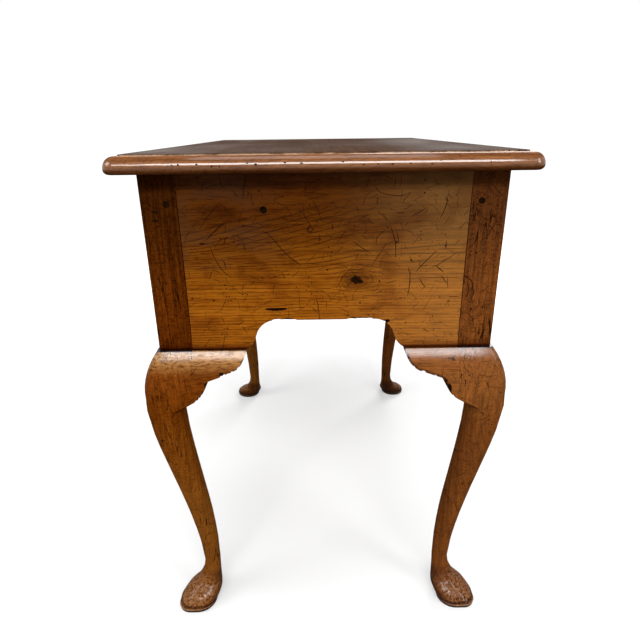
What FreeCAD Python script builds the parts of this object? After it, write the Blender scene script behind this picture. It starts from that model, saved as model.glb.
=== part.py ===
"""Lowboy: a small dressing table with three drawers on four cabriole legs.

Frame, millimetres: X runs along the front, the front looks to -Y, Z is up and the floor is at Z = 0.
Every size is a cell of the sheet "dims", and every object is bound to those cells by expressions.
"""

import os
from types import SimpleNamespace

import FreeCAD
import Part
import Sketcher
from FreeCAD import Vector

LEFT = "left"
RIGHT = "right"

DIMS = [
    # overall
    ("height", 720, "floor to the top surface"),
    ("top_length", 790, "top board, along X"),
    ("top_depth", 514, "top board, along Y"),
    ("top_thick", 22, "top board"),
    ("corner_round", 16, "plan radius of the top's corners"),
    ("thumb_round", 14, "thumb moulding round the top"),
    ("under_round", 6, "its lower edge"),
    ("step_down", 1.5, "step from the flat of the top to its moulding"),
    ("step_in", 17, "that step, from the edge"),
    ("step_corner", 4, "plan radius of the step"),
    ("case_length", 730, "over the posts, along X"),
    ("case_depth", 450, "over the posts, along Y"),
    ("case_bottom", 466, "lower edge of the case and ledge of the knees"),
    ("post", 45, "square of the leg above the knee"),
    ("post_arris", 2, "softened outer arris of a post"),
    ("edge_round", 0.4, "hardly softened edges of a post and its knee block"),
    # boards and joints of the case
    ("board", 18, "side panels, back, apron, rail and dividers"),
    ("tenon_set", 5, "face of a board to its tenon"),
    ("tenon_thick", 8, "tenons"),
    ("tenon_long", 26, "tenons"),
    ("tenon_low", 486, "lower end of the side and back tenons"),
    ("tenon_high", 674, "upper end of the side and back tenons"),
    ("apron_tenon_low", 474, "lower end of the apron tenons"),
    ("apron_tenon_high", 522, "upper end of the apron tenons"),
    ("dovetail_long", 22, "dovetails of the top rail"),
    ("dovetail_neck", 22, "top rail's dovetail at the post's face"),
    ("dovetail_end", 31, "top rail's dovetail at its end"),
    ("peg_radius", 4, "draw-bore pegs"),
    ("peg_long", 25, "draw-bore pegs"),
    ("peg_in", 13, "peg behind the shoulder of its tenon"),
    ("peg_high", 661, "upper pegs"),
    ("peg_low", 498, "lower pegs"),
    ("screw_radius", 2.2, "shank of the top screws"),
    ("screw_head", 4.6, "radius of their heads"),
    ("screw_cone", 3.2, "depth of their heads"),
    ("screw_long", 32, "length of the top screws"),
    ("rail_screw_place", 240, "outer screws of the top rail, from the centre"),
    ("kicker_screw_front", 60, "front kicker screws, before the centre"),
    ("kicker_screw_back", 130, "rear kicker screws, behind the centre"),
    # knee and leg
    ("knee_out", 26, "how far the knee stands out"),
    ("knee_height", 398, "height of the fullest point of the knee"),
    ("knee_radius", 116, "profile radius of the knee"),
    ("ledge", 4, "flat ledge on top of the knee"),
    ("ledge_arris", 8, "rounding of the knee's corner at its ledge"),
    ("knee_arris", 24, "rounding of the knee's corner at the foot of its block"),
    ("tail_height", 399, "where the return's second lobe meets the leg"),
    ("tail_radius", 42, "the return's second lobe, carried on across the leg"),
    ("cusp_out", 64.5, "cusp of a return, from the corner of the post"),
    ("cusp_height", 428.5, "cusp of a return"),
    ("lobe_out", 92, "inner end of a return's first lobe"),
    ("lobe_height", 437.5, "inner end of a return's first lobe"),
    ("lobe_radius", 31, "a return's first lobe"),
    ("return_tip", 117, "tip of a return, from the corner of the post"),
    ("sole_thick", 7, "sole under the foot"),
    ("sole_inset", 1, "sole behind the foot"),
    ("sole_arris", 2, "lower arris of the sole"),
    # arches of the side panels and the apron
    ("toe_in", 16, "foot of an arch, along"),
    ("toe_up", 20, "foot of an arch, up"),
    ("toe_radius", 25, "foot of an arch"),
    ("low_lean", 1, "how far a low arch leans in between foot and shoulder"),
    ("low_shoulder_in", 24, "shoulder of a low arch, along"),
    ("low_shoulder_up", 20, "shoulder of a low arch, up"),
    ("low_shoulder_radius", 28, "shoulder of a low arch"),
    ("tall_lean", 7, "how far the middle arch leans in"),
    ("tall_shoulder_in", 40, "shoulder of the middle arch, along"),
    ("tall_shoulder_up", 38, "shoulder of the middle arch, up"),
    ("tall_shoulder_radius", 46, "shoulder of the middle arch"),
    ("side_arch_half", 109, "half of a side panel's arch"),
    ("side_arch_crown", 508, "crown of a side panel's arch"),
    ("apron_arch_place", 194, "middle of a low arch of the apron, from the centre"),
    ("apron_arch_half", 54, "half of a low arch of the apron"),
    ("apron_arch_crown", 508, "crown of a low arch of the apron"),
    ("middle_arch_half", 116, "half of the middle arch"),
    ("middle_arch_crown", 572, "crown of the middle arch"),
    ("back_bottom", 478, "lower edge of the back"),
    # drawer openings and what carries the drawers
    ("divider_place", 117, "middle of a divider, from the centre"),
    ("divider_wide", 18, "dividers and partitions"),
    ("divider_tenon", 8, "divider tenons, thick and long"),
    ("deep_floor", 530, "floor of the two deep openings"),
    ("shallow_floor", 600, "floor of the middle opening"),
    ("ceiling", 680, "underside of the top rail"),
    ("runner_thick", 18, "runners and kickers"),
    ("runner_reach", 20, "outer runner under its drawer"),
    ("strip_wide", 16, "runners on the partitions"),
    ("guide_tall", 20, "guide of an outer runner"),
    ("kicker_reach", 16, "kicker over its drawer"),
    ("block_wide", 22, "glue blocks, along the board"),
    ("block_thick", 16, "glue blocks"),
    ("block_low", 438, "lower end of the glue blocks"),
    ("block_high", 494, "upper end of the glue blocks"),
    # drawers
    ("play", 1.5, "drawer in its opening, at each side and above"),
    ("lift", 0.4, "drawer above its runners"),
    ("lip", 5, "lip over the frame"),
    ("lip_thick", 6, "lip"),
    ("lip_round", 4.5, "thumb moulding of the lip"),
    ("lip_gap", 0.3, "lip off the frame"),
    ("front_thick", 18, "drawer front behind its lip"),
    ("side_thick", 10, "drawer sides and back"),
    ("tail_long", 12, "dovetail tails in the drawer front"),
    ("tail_neck", 0.46, "neck of a tail, as a share of its pitch"),
    ("tail_end", 0.64, "end of a tail, as a share of its pitch"),
    ("drawer_rear", 175, "rear face of the drawers"),
    ("side_drop", 6, "drawer side below the top of its front"),
    ("back_drop", 8, "drawer back below its sides"),
    ("bottom_thick", 6, "drawer bottom"),
    ("bottom_up", 6, "drawer bottom above the lower edge of the sides"),
    ("groove", 5, "depth of the bottom's groove"),
    # handles
    ("plate_thick", 1.5, "handle plate"),
    ("pivot_out", 30, "pivot, from the middle of the plate"),
    ("pivot_up", 5, "pivot above the middle of the plate"),
    ("pivot_reach", 13, "pivot in front of the plate"),
    ("head_radius", 4.6, "head of a handle post"),
    ("neck_radius", 3, "neck of a handle post"),
    ("collar_radius", 6.2, "collar of a handle post"),
    ("collar_thick", 2.4, "collar of a handle post"),
    ("bolt_radius", 2.5, "bolt of a handle post"),
    ("bolt_end", 6, "bolt behind the drawer front"),
    ("nut_wide", 11, "square nut"),
    ("nut_thick", 3.5, "square nut"),
    ("rod_radius", 2.1, "rod of the bail"),
    ("pin_play", 0.08, "pin of the bail in its hole"),
    ("bail_out", 10.5, "bail outside its pivot"),
    ("bail_drop", 34, "bail below its pivot"),
    ("bail_turn", 5, "upper bend of the bail"),
    ("bail_bend", 18, "lower bend of the bail"),
    ("bulb_half", 11, "half of the swelling on the bail"),
    ("bulb_radius", 3.6, "swelling on the bail"),
]

# Stations of the leg under the knee: name, height, outer face and inner face measured inwards from the
# outer faces of the post, the rounding of the outer, side and inner corners as shares of the leg's width,
# and the number of bands from here down to the next station.
STATIONS = [
    ("calf_top", 382, -24.9, 22.4, 0.36, 0.26, 0.2, 1),
    ("calf", 340, -21.4, 25.7, 0.42, 0.38, 0.34, 2),
    ("shin_top", 290, -13.2, 30.4, 0.45, 0.42, 0.40, 2),
    ("shin", 230, -2.2, 36.6, 0.47, 0.46, 0.46, 2),
    ("shin_low", 170, 8.0, 42.1, 0.48, 0.48, 0.48, 2),
    ("ankle_top", 110, 16.4, 44.8, 0.48, 0.48, 0.48, 1),
    ("ankle", 66, 19.6, 44.8, 0.48, 0.48, 0.48, 1),
    ("throat", 52, 17.5, 44.6, 0.48, 0.48, 0.48, 1),
    ("instep", 42, 12.6, 44.8, 0.47, 0.48, 0.48, 2),
    ("foot_top", 31, 4.6, 45.6, 0.42, 0.48, 0.48, 2),
    ("foot", 20, -10.4, 46.4, 0.36, 0.48, 0.48, 2),
    ("foot_edge", 7, -21.4, 39.8, 0.32, 0.47, 0.48, 0),
]

# Right half of the handle plate's outline from the bottom up: name, distance from the middle, height from
# the middle, and the radius and the side of the arc that leads to the next point.
PLATE = [
    ("drop", 0, -20, 10, RIGHT),
    ("cusp", 10, -14, 14, LEFT),
    ("skirt", 24, -15, 16, RIGHT),
    ("wing", 43, -3, 8, LEFT),
    ("ear", 38, 6, 9, RIGHT),
    ("notch", 27, 14, 12, LEFT),
    ("crest", 13, 13, 11, RIGHT),
    ("crown", 0, 20, None, None),
]
STATION_SIZES = ("height", "outer", "inner", "round_out", "round_side", "round_in")

KNEE_BANDS = 7  # bands of the knee block, from its ledge down to the tails of the returns
QUARTER_TURN = 1.5707963267948966
SAW_MARGIN = 9  # how far the sawn-off waste reaches past the block that it is sawn from


class Dim:
    """A size: FreeCAD's expression for it over the sheet, and the number which that gives."""

    def __init__(self, text, number):
        self.text = text
        self.number = number

    def __add__(self, other):
        other = dim(other)
        return Dim(f"{self.text} + {other.text}", self.number + other.number)

    def __sub__(self, other):
        other = dim(other)
        return Dim(f"{self.text} - ({other.text})", self.number - other.number)

    def __mul__(self, other):
        other = dim(other)
        return Dim(f"({self.text}) * ({other.text})", self.number * other.number)

    def __truediv__(self, other):
        other = dim(other)
        return Dim(f"({self.text}) / ({other.text})", self.number / other.number)

    def __rmul__(self, other):
        return dim(other) * self

    def __neg__(self):
        return Dim(f"-({self.text})", -self.number)

    def root(self):
        return Dim(f"sqrt({self.text})", self.number**0.5)


def dim(value):
    """A plain number as a Dim. A Dim stays as it is."""
    return value if isinstance(value, Dim) else Dim(str(value), float(value))


def fill_sheet(sheet):
    """Writes every driving dimension to a named cell and returns them all as Dims."""
    rows = list(DIMS)
    for station, *sizes, bands in STATIONS:
        rows.extend((f"{station}_{part}", size, "leg station") for part, size in zip(STATION_SIZES, sizes))
    for point, out, up, radius, side in PLATE:
        rows.append((f"plate_{point}_out", out, "handle plate, from the middle"))
        rows.append((f"plate_{point}_up", up, "handle plate, height"))
        if side:
            rows.append((f"plate_{point}_arc", radius, "handle plate, arc on to the next point"))
    for row, (name, size, note) in enumerate(rows, start=1):
        sheet.set(f"A{row}", name)
        sheet.set(f"B{row}", str(size))
        sheet.set(f"C{row}", note)
        sheet.setAlias(f"B{row}", name)
    return SimpleNamespace(**{name: Dim("dims." + name, size) for name, size, note in rows})


doc = FreeCAD.newDocument("lowboy")
d = fill_sheet(doc.addObject("Spreadsheet::Sheet", "dims"))
doc.recompute()
pieces = {}

half_long = d.case_length / 2
half_deep = d.case_depth / 2
case_top = d.height - d.top_thick
post_x = half_long - d.post
post_y = half_deep - d.post
panel_x = half_long - d.board
panel_y = half_deep - d.board
divider_inner = d.divider_place - d.divider_wide / 2
divider_outer = d.divider_place + d.divider_wide / 2


def keep(thing, label):
    """Names a finished piece of the lowboy."""
    thing.Label = label
    pieces[label] = thing
    return thing


def place(thing, x, y, z):
    """Moves an object to a place given by Dims or numbers."""
    for axis, where in zip("xyz", (x, y, z)):
        thing.setExpression("Placement.Base." + axis, dim(where).text)
    return thing


# Part objects


def box(name, low, high):
    """A board between two opposite corners."""
    made = doc.addObject("Part::Box", name)
    for side, start, end in zip(("Length", "Width", "Height"), low, high):
        made.setExpression(side, (dim(end) - start).text)
    return place(made, *low)


def mirror(name, source, normal):
    """The same piece on the other side of the middle of the lowboy."""
    made = doc.addObject("Part::Mirroring", name)
    made.Source = source
    made.Normal = normal
    return made


def across(name, source):
    """The piece at the other end."""
    return mirror(name, source, Vector(1, 0, 0))


def behind(name, source):
    """The piece at the other side, front to back."""
    return mirror(name, source, Vector(0, 1, 0))


def cut(name, base, *tools):
    """The base with the room of each tool taken out, as a mortise is cut for its tenon."""
    for number, tool in enumerate(tools):
        made = doc.addObject("Part::Cut", f"{name}_{number}")
        made.Base = base
        made.Tool = tool
        base = made
    return base


def group(name, members):
    """Several objects as one."""
    made = doc.addObject("Part::Compound", name)
    made.Links = members
    return made


# PartDesign bodies


def new_body(name):
    return doc.addObject("PartDesign::Body", name)


def sketch_on(body, plane, name, offset=0):
    """A sketch on one of the body's origin planes, moved along the normal of that plane."""
    sketch = body.newObject("Sketcher::SketchObject", name)
    found = [feature for feature in body.Origin.OriginFeatures if feature.Role == plane]
    sketch.AttachmentSupport = [(found[0], "")]
    sketch.MapMode = "FlatFace"
    sketch.setExpression("AttachmentOffset.Base.z", dim(offset).text)
    return sketch


def hold(sketch, constraint, name, size):
    """Adds a named constraint and binds it to its size."""
    number = sketch.addConstraint(constraint)
    sketch.renameConstraint(number, name)
    sketch.setExpression("Constraints." + name, dim(size).text)


def hold_point(sketch, curve, end, right, up, tag):
    """Holds one end of a curve at its place."""
    hold(sketch, Sketcher.Constraint("DistanceX", -1, 1, curve, end, dim(right).number), tag + "_x", right)
    hold(sketch, Sketcher.Constraint("DistanceY", -1, 1, curve, end, dim(up).number), tag + "_y", up)


def arc_between(start, end, radius, bulge):
    """The arc from start to end that bulges to the left or to the right of the way there."""
    way = end - start
    left = Vector(-way.y, way.x, 0).normalize()
    rise = (radius**2 - (way.Length / 2) ** 2) ** 0.5
    turn = 1 if bulge == LEFT else -1
    centre = (start + end) * 0.5 - left * (rise * turn)
    summit = centre + left * (radius * turn)
    return Part.Arc(start, summit, end)


def outline(sketch, corners, tag="corner", closed=True):
    """Lines and arcs between corners: a corner is (right, up), or (right, up, radius, bulge) of an arc."""
    points = [Vector(dim(corner[0]).number, dim(corner[1]).number, 0) for corner in corners]
    first = sketch.GeometryCount
    count = len(corners) if closed else len(corners) - 1
    ends = []
    for number, corner in enumerate(corners[:count]):
        start = points[number]
        end = points[(number + 1) % len(points)]
        if len(corner) == 2:
            sketch.addGeometry(Part.LineSegment(start, end), False)
            ends.append((1, 2))
        else:
            sketch.addGeometry(arc_between(start, end, dim(corner[2]).number, corner[3]), False)
            begins = sketch.getPoint(first + number, 1).distanceToPoint(start) < 1e-6
            ends.append((1, 2) if begins else (2, 1))
    for number, corner in enumerate(corners[:count]):
        curve = first + number
        following = (number + 1) % count
        if closed or following:
            joined = ("Coincident", curve, ends[number][1], first + following, ends[following][0])
            sketch.addConstraint(Sketcher.Constraint(*joined))
        else:
            hold_point(sketch, curve, ends[number][1], *corners[-1][:2], f"{tag}_end")
        hold_point(sketch, curve, ends[number][0], corner[0], corner[1], f"{tag}_{number}")
        if len(corner) > 2:
            radius = Sketcher.Constraint("Radius", curve, dim(corner[2]).number)
            hold(sketch, radius, f"{tag}_{number}_r", corner[2])
    return sketch


def rectangle(sketch, left, low, right, high, tag="side"):
    return outline(sketch, [(left, low), (right, low), (right, high), (left, high)], tag)


def rounded_rectangle(sketch, half_x, half_y, radius):
    """A rectangle about the origin with round corners."""
    x, y, r = half_x, half_y, radius
    corners = [
        (-x + r, -y),
        (x - r, -y, r, RIGHT),
        (x, -y + r),
        (x, y - r, r, RIGHT),
        (x - r, y),
        (-x + r, y, r, RIGHT),
        (-x, y - r),
        (-x, -y + r, r, RIGHT),
    ]
    return outline(sketch, corners)


def circle(sketch, right, up, radius):
    """A circle about a point of the sketch."""
    centre = Vector(dim(right).number, dim(up).number, 0)
    sketch.addGeometry(Part.Circle(centre, Vector(0, 0, 1), dim(radius).number), False)
    hold_point(sketch, 0, 3, right, up, "centre")
    hold(sketch, Sketcher.Constraint("Radius", 0, dim(radius).number), "radius", radius)
    return sketch


def leg_section(sketch, outer, inner, round_out, round_side, round_in):
    """A square from outer to inner along both axes, round by its own radius at each kind of corner."""
    sizes = {
        "outer": dim(outer).number,
        "inner": dim(inner).number,
        "out": dim(round_out).number,
        "side": dim(round_side).number,
        "in": dim(round_in).number,
    }
    low, high = sizes["outer"], sizes["inner"]
    lines = [
        (Vector(low + sizes["out"], low, 0), Vector(high - sizes["side"], low, 0)),
        (Vector(high, low + sizes["side"], 0), Vector(high, high - sizes["in"], 0)),
        (Vector(high - sizes["in"], high, 0), Vector(low + sizes["side"], high, 0)),
        (Vector(low, high - sizes["side"], 0), Vector(low, low + sizes["out"], 0)),
    ]
    corners = [
        (high - sizes["side"], low + sizes["side"], round_side),
        (high - sizes["in"], high - sizes["in"], round_in),
        (low + sizes["side"], high - sizes["side"], round_side),
        (low + sizes["out"], low + sizes["out"], round_out),
    ]
    for number, (line, corner) in enumerate(zip(lines, corners)):
        sketch.addGeometry(Part.LineSegment(*line), False)
        circle = Part.Circle(Vector(corner[0], corner[1], 0), Vector(0, 0, 1), dim(corner[2]).number)
        start = QUARTER_TURN * (number - 1)
        sketch.addGeometry(Part.ArcOfCircle(circle, start, start + QUARTER_TURN), False)
    for line in (0, 2, 4, 6):
        sketch.addConstraint(Sketcher.Constraint("Tangent", line, 2, line + 1, 1))
        sketch.addConstraint(Sketcher.Constraint("Tangent", line + 1, 2, (line + 2) % 8, 1))
        sketch.addConstraint(Sketcher.Constraint("Vertical" if line % 4 else "Horizontal", line))
    faces = [
        ("DistanceY", 0, outer),
        ("DistanceX", 2, inner),
        ("DistanceY", 4, inner),
        ("DistanceX", 6, outer),
    ]
    for kind, line, size in faces:
        hold(sketch, Sketcher.Constraint(kind, -1, 1, line, 1, dim(size).number), f"face_{line}", size)
    for number, corner in enumerate(corners):
        arc = 2 * number + 1
        hold(sketch, Sketcher.Constraint("Radius", arc, dim(corner[2]).number), f"round_{arc}", corner[2])
    return sketch


def pad(body, sketch, length, reverse=False):
    made = body.newObject("PartDesign::Pad", sketch.Name + "_pad")
    made.Profile = sketch
    made.Reversed = reverse
    made.setExpression("Length", dim(length).text)
    doc.recompute()
    return made


def pocket(body, sketch, length, reverse=False):
    """Cuts the sketch out of the body, and stops if it cut nothing."""
    before = body.Shape.Volume
    made = body.newObject("PartDesign::Pocket", sketch.Name + "_pocket")
    made.Profile = sketch
    made.Reversed = reverse
    made.setExpression("Length", dim(length).text)
    doc.recompute()
    if body.Shape.Volume > before - 1:
        raise RuntimeError(f"{made.Name} cuts nothing")
    return made


def turn(body, sketch, axis):
    """Turns the sketch about one of its own axes."""
    made = body.newObject("PartDesign::Revolution", sketch.Name + "_turned")
    made.Profile = sketch
    made.ReferenceAxis = (sketch, [axis])
    doc.recompute()
    return made


def edges_where(shape, test):
    """Names of the edges whose end points all pass a test."""
    edges = enumerate(shape.Edges, start=1)
    return [f"Edge{number}" for number, edge in edges if all(test(v.Point) for v in edge.Vertexes)]


def fillet(body, base, test, radius, name):
    """Rounds the edges of a feature whose end points pass a test."""
    made = body.newObject("PartDesign::Fillet", name)
    made.Base = (base, edges_where(base.Shape, test))
    made.setExpression("Radius", dim(radius).text)
    doc.recompute()
    return made


# Legs and knee returns


def knee_corners(inner):
    """A return seen from its end: the knee's outer face, from the ledge down to below the lobes."""
    return [
        (inner, d.case_bottom),
        (-d.ledge, d.case_bottom, d.knee_radius, RIGHT),
        (-d.knee_out, d.knee_height, d.knee_radius, RIGHT),
        (d.calf_top_outer, d.calf_top_height),
        (inner, d.calf_top_height),
    ]


def knee_face(height):
    """How far in or out the knee's outer face is at a height."""
    above = height - d.knee_height
    return d.knee_radius - d.knee_out - (d.knee_radius * d.knee_radius - above * above).root()


def smooth(values, heights, span, way):
    """A size part of the way down one span of the leg, on a smooth curve through all its stations."""
    def slope(station):
        before, after = max(station - 1, 0), min(station + 1, len(values) - 1)
        return (values[after] - values[before]) / (heights[after].number - heights[before].number)

    drop = heights[span + 1].number - heights[span].number
    ends = values[span] * (2 * way**3 - 3 * way**2 + 1) + values[span + 1] * (3 * way**2 - 2 * way**3)
    turn_in = slope(span) * (drop * (way**3 - 2 * way**2 + way))
    turn_out = slope(span + 1) * (drop * (way**3 - way**2))
    return ends + turn_in + turn_out


def leg_stations():
    """Every section of the leg: height, outer face, inner face and three corner radii."""
    columns = [[getattr(d, f"{row[0]}_{part}") for row in STATIONS] for part in STATION_SIZES]
    heights, outers, inners, *shares = columns
    found = []
    for band in range(KNEE_BANDS + 1):
        way = band / KNEE_BANDS
        height = d.case_bottom + (d.tail_height - d.case_bottom) * way
        arris = d.ledge_arris + (d.knee_arris - d.ledge_arris) * way
        found.append((height, knee_face(height), d.post, arris, d.edge_round, d.edge_round))
    for span, (*sizes, bands) in enumerate(STATIONS):
        for band in range(max(bands, 1)):
            way = band / max(bands, 1)
            if way == 0:
                height, outer, inner = heights[span], outers[span], inners[span]
                rounds = [column[span] for column in shares]
            else:
                height = heights[span] * (1 - way) + heights[span + 1] * way
                outer = smooth(outers, heights, span, way)
                inner = smooth(inners, heights, span, way)
                rounds = [column[span] * (1 - way) + column[span + 1] * way for column in shares]
            found.append((height, outer, inner, *[(inner - outer) * share for share in rounds]))
    return found


def make_leg():
    """One leg with its post, knee, shin and foot. The outer corner of its post is the body's origin."""
    body = new_body("leg_blank")
    sections = [
        leg_section(sketch_on(body, "XY_Plane", f"section_{number}", height), outer, inner, *rounds)
        for number, (height, outer, inner, *rounds) in enumerate(leg_stations())
    ]
    loft = body.newObject("PartDesign::AdditiveLoft", "knee_shin_and_foot")
    loft.Profile = sections[0]
    loft.Sections = sections[1:]
    loft.Ruled = True
    doc.recompute()
    square = sketch_on(body, "XY_Plane", "post_square", d.case_bottom)
    leg_section(square, 0, d.post, d.post_arris, d.edge_round, d.edge_round)
    pad(body, square, case_top - d.case_bottom)
    sole = sketch_on(body, "XY_Plane", "sole")
    wide = d.foot_edge_inner - d.foot_edge_outer
    rounds = [d.foot_edge_round_out, d.foot_edge_round_side, d.foot_edge_round_in]
    radii = [share * wide - d.sole_inset for share in rounds]
    leg_section(sole, d.foot_edge_outer + d.sole_inset, d.foot_edge_inner - d.sole_inset, *radii)
    soled = pad(body, sole, d.sole_thick)
    edge = body.newObject("PartDesign::Chamfer", "sole_edge")
    edge.Base = (soled, edges_where(soled.Shape, lambda p: abs(p.z) < 0.001))
    edge.setExpression("Size", d.sole_arris.text)
    return place(body, -half_long, -half_deep, 0)


def lobe_waste(margin):
    """The wood sawn off under a return's two lobes."""
    return [
        (d.post - margin, d.calf_top_height - margin),
        (d.return_tip + margin, d.calf_top_height - margin),
        (d.return_tip + margin, d.case_bottom),
        (d.return_tip, d.case_bottom, d.lobe_radius, LEFT),
        (d.lobe_out, d.lobe_height),
        (d.cusp_out, d.cusp_height, d.tail_radius, LEFT),
        (d.post, d.tail_height),
        (d.post - margin, d.tail_height),
    ]


def make_side_return():
    """The side return of the front left leg: a block with the knee's profile, sawn to its two lobes."""
    body = new_body("side_return")
    front = sketch_on(body, "XZ_Plane", "side_return_profile", -d.post)
    outline(front, knee_corners(d.board))
    pad(body, front, d.return_tip - d.post, reverse=True)
    side = sketch_on(body, "YZ_Plane", "side_return_lobes", -d.knee_out - SAW_MARGIN)
    outline(side, lobe_waste(SAW_MARGIN))
    pocket(body, side, d.knee_out + d.board + 2 * SAW_MARGIN, reverse=True)
    return place(body, -half_long, -half_deep, 0)


def make_front_return():
    """The front return of the front left leg, under the apron."""
    body = new_body("front_return")
    side = sketch_on(body, "YZ_Plane", "front_return_profile", d.post)
    outline(side, knee_corners(d.board))
    pad(body, side, d.return_tip - d.post)
    front = sketch_on(body, "XZ_Plane", "front_return_lobes", d.knee_out + SAW_MARGIN)
    outline(front, lobe_waste(SAW_MARGIN))
    pocket(body, front, d.knee_out + d.board + 2 * SAW_MARGIN)
    return place(body, -half_long, -half_deep, 0)


# Top and case


def make_top():
    """The top board with its edge: a thumb moulding, and a small step up from it to the flat."""
    body = new_body("top_board")
    plan = sketch_on(body, "XY_Plane", "top_plan", case_top)
    rounded_rectangle(plan, d.top_length / 2, d.top_depth / 2, d.corner_round)
    moulded = pad(body, plan, d.top_thick - d.step_down)
    moulded = fillet(body, moulded, lambda p: abs(p.z - case_top.number) < 0.001, d.under_round, "under_edge")
    shoulder = (d.height - d.step_down).number
    fillet(body, moulded, lambda p: abs(p.z - shoulder) < 0.001, d.thumb_round, "thumb_moulding")
    flat = sketch_on(body, "XY_Plane", "top_flat", d.height - d.step_down)
    rounded_rectangle(flat, d.top_length / 2 - d.step_in, d.top_depth / 2 - d.step_in, d.step_corner)
    pad(body, flat, d.step_down)
    return body


def arch(middle, half, crown, lean, shoulder_in, shoulder_up, shoulder_radius):
    """Corners of an arch cut into a board's lower edge, from its left foot to its right foot."""
    toe = half - d.toe_in
    spring = toe - lean
    flat = spring - shoulder_in
    toe_top = d.case_bottom + d.toe_up
    shoulder = crown - shoulder_up
    return [
        (middle - half, d.case_bottom, d.toe_radius, RIGHT),
        (middle - toe, toe_top),
        (middle - spring, shoulder, shoulder_radius, LEFT),
        (middle - flat, crown),
        (middle + flat, crown, shoulder_radius, LEFT),
        (middle + spring, shoulder),
        (middle + toe, toe_top, d.toe_radius, RIGHT),
        (middle + half, d.case_bottom),
    ]


def low_arch(middle, half, crown):
    sizes = (d.low_lean, d.low_shoulder_in, d.low_shoulder_up, d.low_shoulder_radius)
    return arch(middle, half, crown, *sizes)


def tall_arch(middle, half, crown):
    sizes = (d.tall_lean, d.tall_shoulder_in, d.tall_shoulder_up, d.tall_shoulder_radius)
    return arch(middle, half, crown, *sizes)


def tenons(body, plane, name, set_in, reach, low, high, reverse):
    """A tenon at each end of a board. Each starts inside the board, so that it is one with it."""
    sketch = sketch_on(body, plane, name, set_in)
    root = reach - d.tenon_thick
    end = reach + d.tenon_long
    rectangle(sketch, -end, low, -root, high, "left")
    rectangle(sketch, root, low, end, high, "right")
    return pad(body, sketch, d.tenon_thick, reverse=reverse)


def make_side_panel():
    """The left side panel, arched below and tenoned into both posts, flush with their outer faces."""
    body = new_body("side_board")
    face = sketch_on(body, "YZ_Plane", "side_outline", -half_long)
    corners = [
        (-post_y, d.case_bottom),
        *low_arch(dim(0), d.side_arch_half, d.side_arch_crown),
        (post_y, d.case_bottom),
        (post_y, case_top),
        (-post_y, case_top),
    ]
    outline(face, corners)
    pad(body, face, d.board)
    set_in = -half_long + d.tenon_set
    tenons(body, "YZ_Plane", "side_tenons", set_in, post_y, d.tenon_low, d.tenon_high, False)
    return body


def make_back_panel():
    """The back panel, tenoned into the rear posts."""
    body = new_body("back_board")
    face = sketch_on(body, "XZ_Plane", "back_outline", -half_deep)
    rectangle(face, -post_x, d.back_bottom, post_x, case_top)
    pad(body, face, d.board)
    set_in = -half_deep + d.tenon_set
    tenons(body, "XZ_Plane", "back_tenons", set_in, post_x, d.tenon_low, d.tenon_high, False)
    return body


def make_apron():
    """The front apron: three arches below, and above it steps up under the middle drawer."""
    body = new_body("apron_board")
    face = sketch_on(body, "XZ_Plane", "apron_outline", half_deep)
    low = (d.apron_arch_half, d.apron_arch_crown)
    corners = [
        (-post_x, d.case_bottom),
        *low_arch(-d.apron_arch_place, *low),
        *tall_arch(dim(0), d.middle_arch_half, d.middle_arch_crown),
        *low_arch(d.apron_arch_place, *low),
        (post_x, d.case_bottom),
        (post_x, d.deep_floor),
        (divider_inner, d.deep_floor),
        (divider_inner, d.shallow_floor),
        (-divider_inner, d.shallow_floor),
        (-divider_inner, d.deep_floor),
        (-post_x, d.deep_floor),
    ]
    outline(face, corners)
    pad(body, face, d.board, reverse=True)
    low, high = d.apron_tenon_low, d.apron_tenon_high
    tenons(body, "XZ_Plane", "apron_tenons", half_deep - d.tenon_set, post_x, low, high, True)
    return body


def make_top_rail():
    """The rail over the drawers, dovetailed into the tops of the front posts."""
    body = new_body("rail_board")
    face = sketch_on(body, "XY_Plane", "rail_outline", d.ceiling)
    middle = -half_deep + d.post / 2
    end = post_x + d.dovetail_long
    neck, tail = d.dovetail_neck / 2, d.dovetail_end / 2
    corners = [
        (-post_x, -half_deep),
        (post_x, -half_deep),
        (post_x, middle - neck),
        (end, middle - tail),
        (end, middle + tail),
        (post_x, middle + neck),
        (post_x, -post_y),
        (-post_x, -post_y),
        (-post_x, middle + neck),
        (-end, middle + tail),
        (-end, middle - tail),
        (-post_x, middle - neck),
    ]
    outline(face, corners)
    pad(body, face, case_top - d.ceiling)
    return body


def make_divider():
    """The left divider between two drawer openings, with a stub tenon at each end."""
    upright = box(
        "divider_upright",
        (-divider_outer, -half_deep, d.deep_floor),
        (-divider_inner, -post_y, d.ceiling),
    )
    middle = -half_deep + d.board / 2
    stub = box(
        "divider_stub",
        (-divider_outer, middle - d.divider_tenon / 2, d.deep_floor - d.divider_tenon),
        (-divider_inner, middle + d.divider_tenon / 2, d.ceiling + d.divider_tenon),
    )
    made = doc.addObject("Part::MultiFuse", "divider_board")
    made.Shapes = [upright, stub]
    return made


def make_outer_runner():
    """The left drawer's outer runner, with the guide that keeps the drawer off the post."""
    body = new_body("outer_runner")
    end = sketch_on(body, "XZ_Plane", "outer_runner_end", -post_y)
    corners = [
        (-panel_x, d.deep_floor - d.runner_thick),
        (-post_x + d.runner_reach, d.deep_floor - d.runner_thick),
        (-post_x + d.runner_reach, d.deep_floor),
        (-post_x, d.deep_floor),
        (-post_x, d.deep_floor + d.guide_tall),
        (-panel_x, d.deep_floor + d.guide_tall),
    ]
    outline(end, corners)
    pad(body, end, 2 * post_y)
    return body


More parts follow.
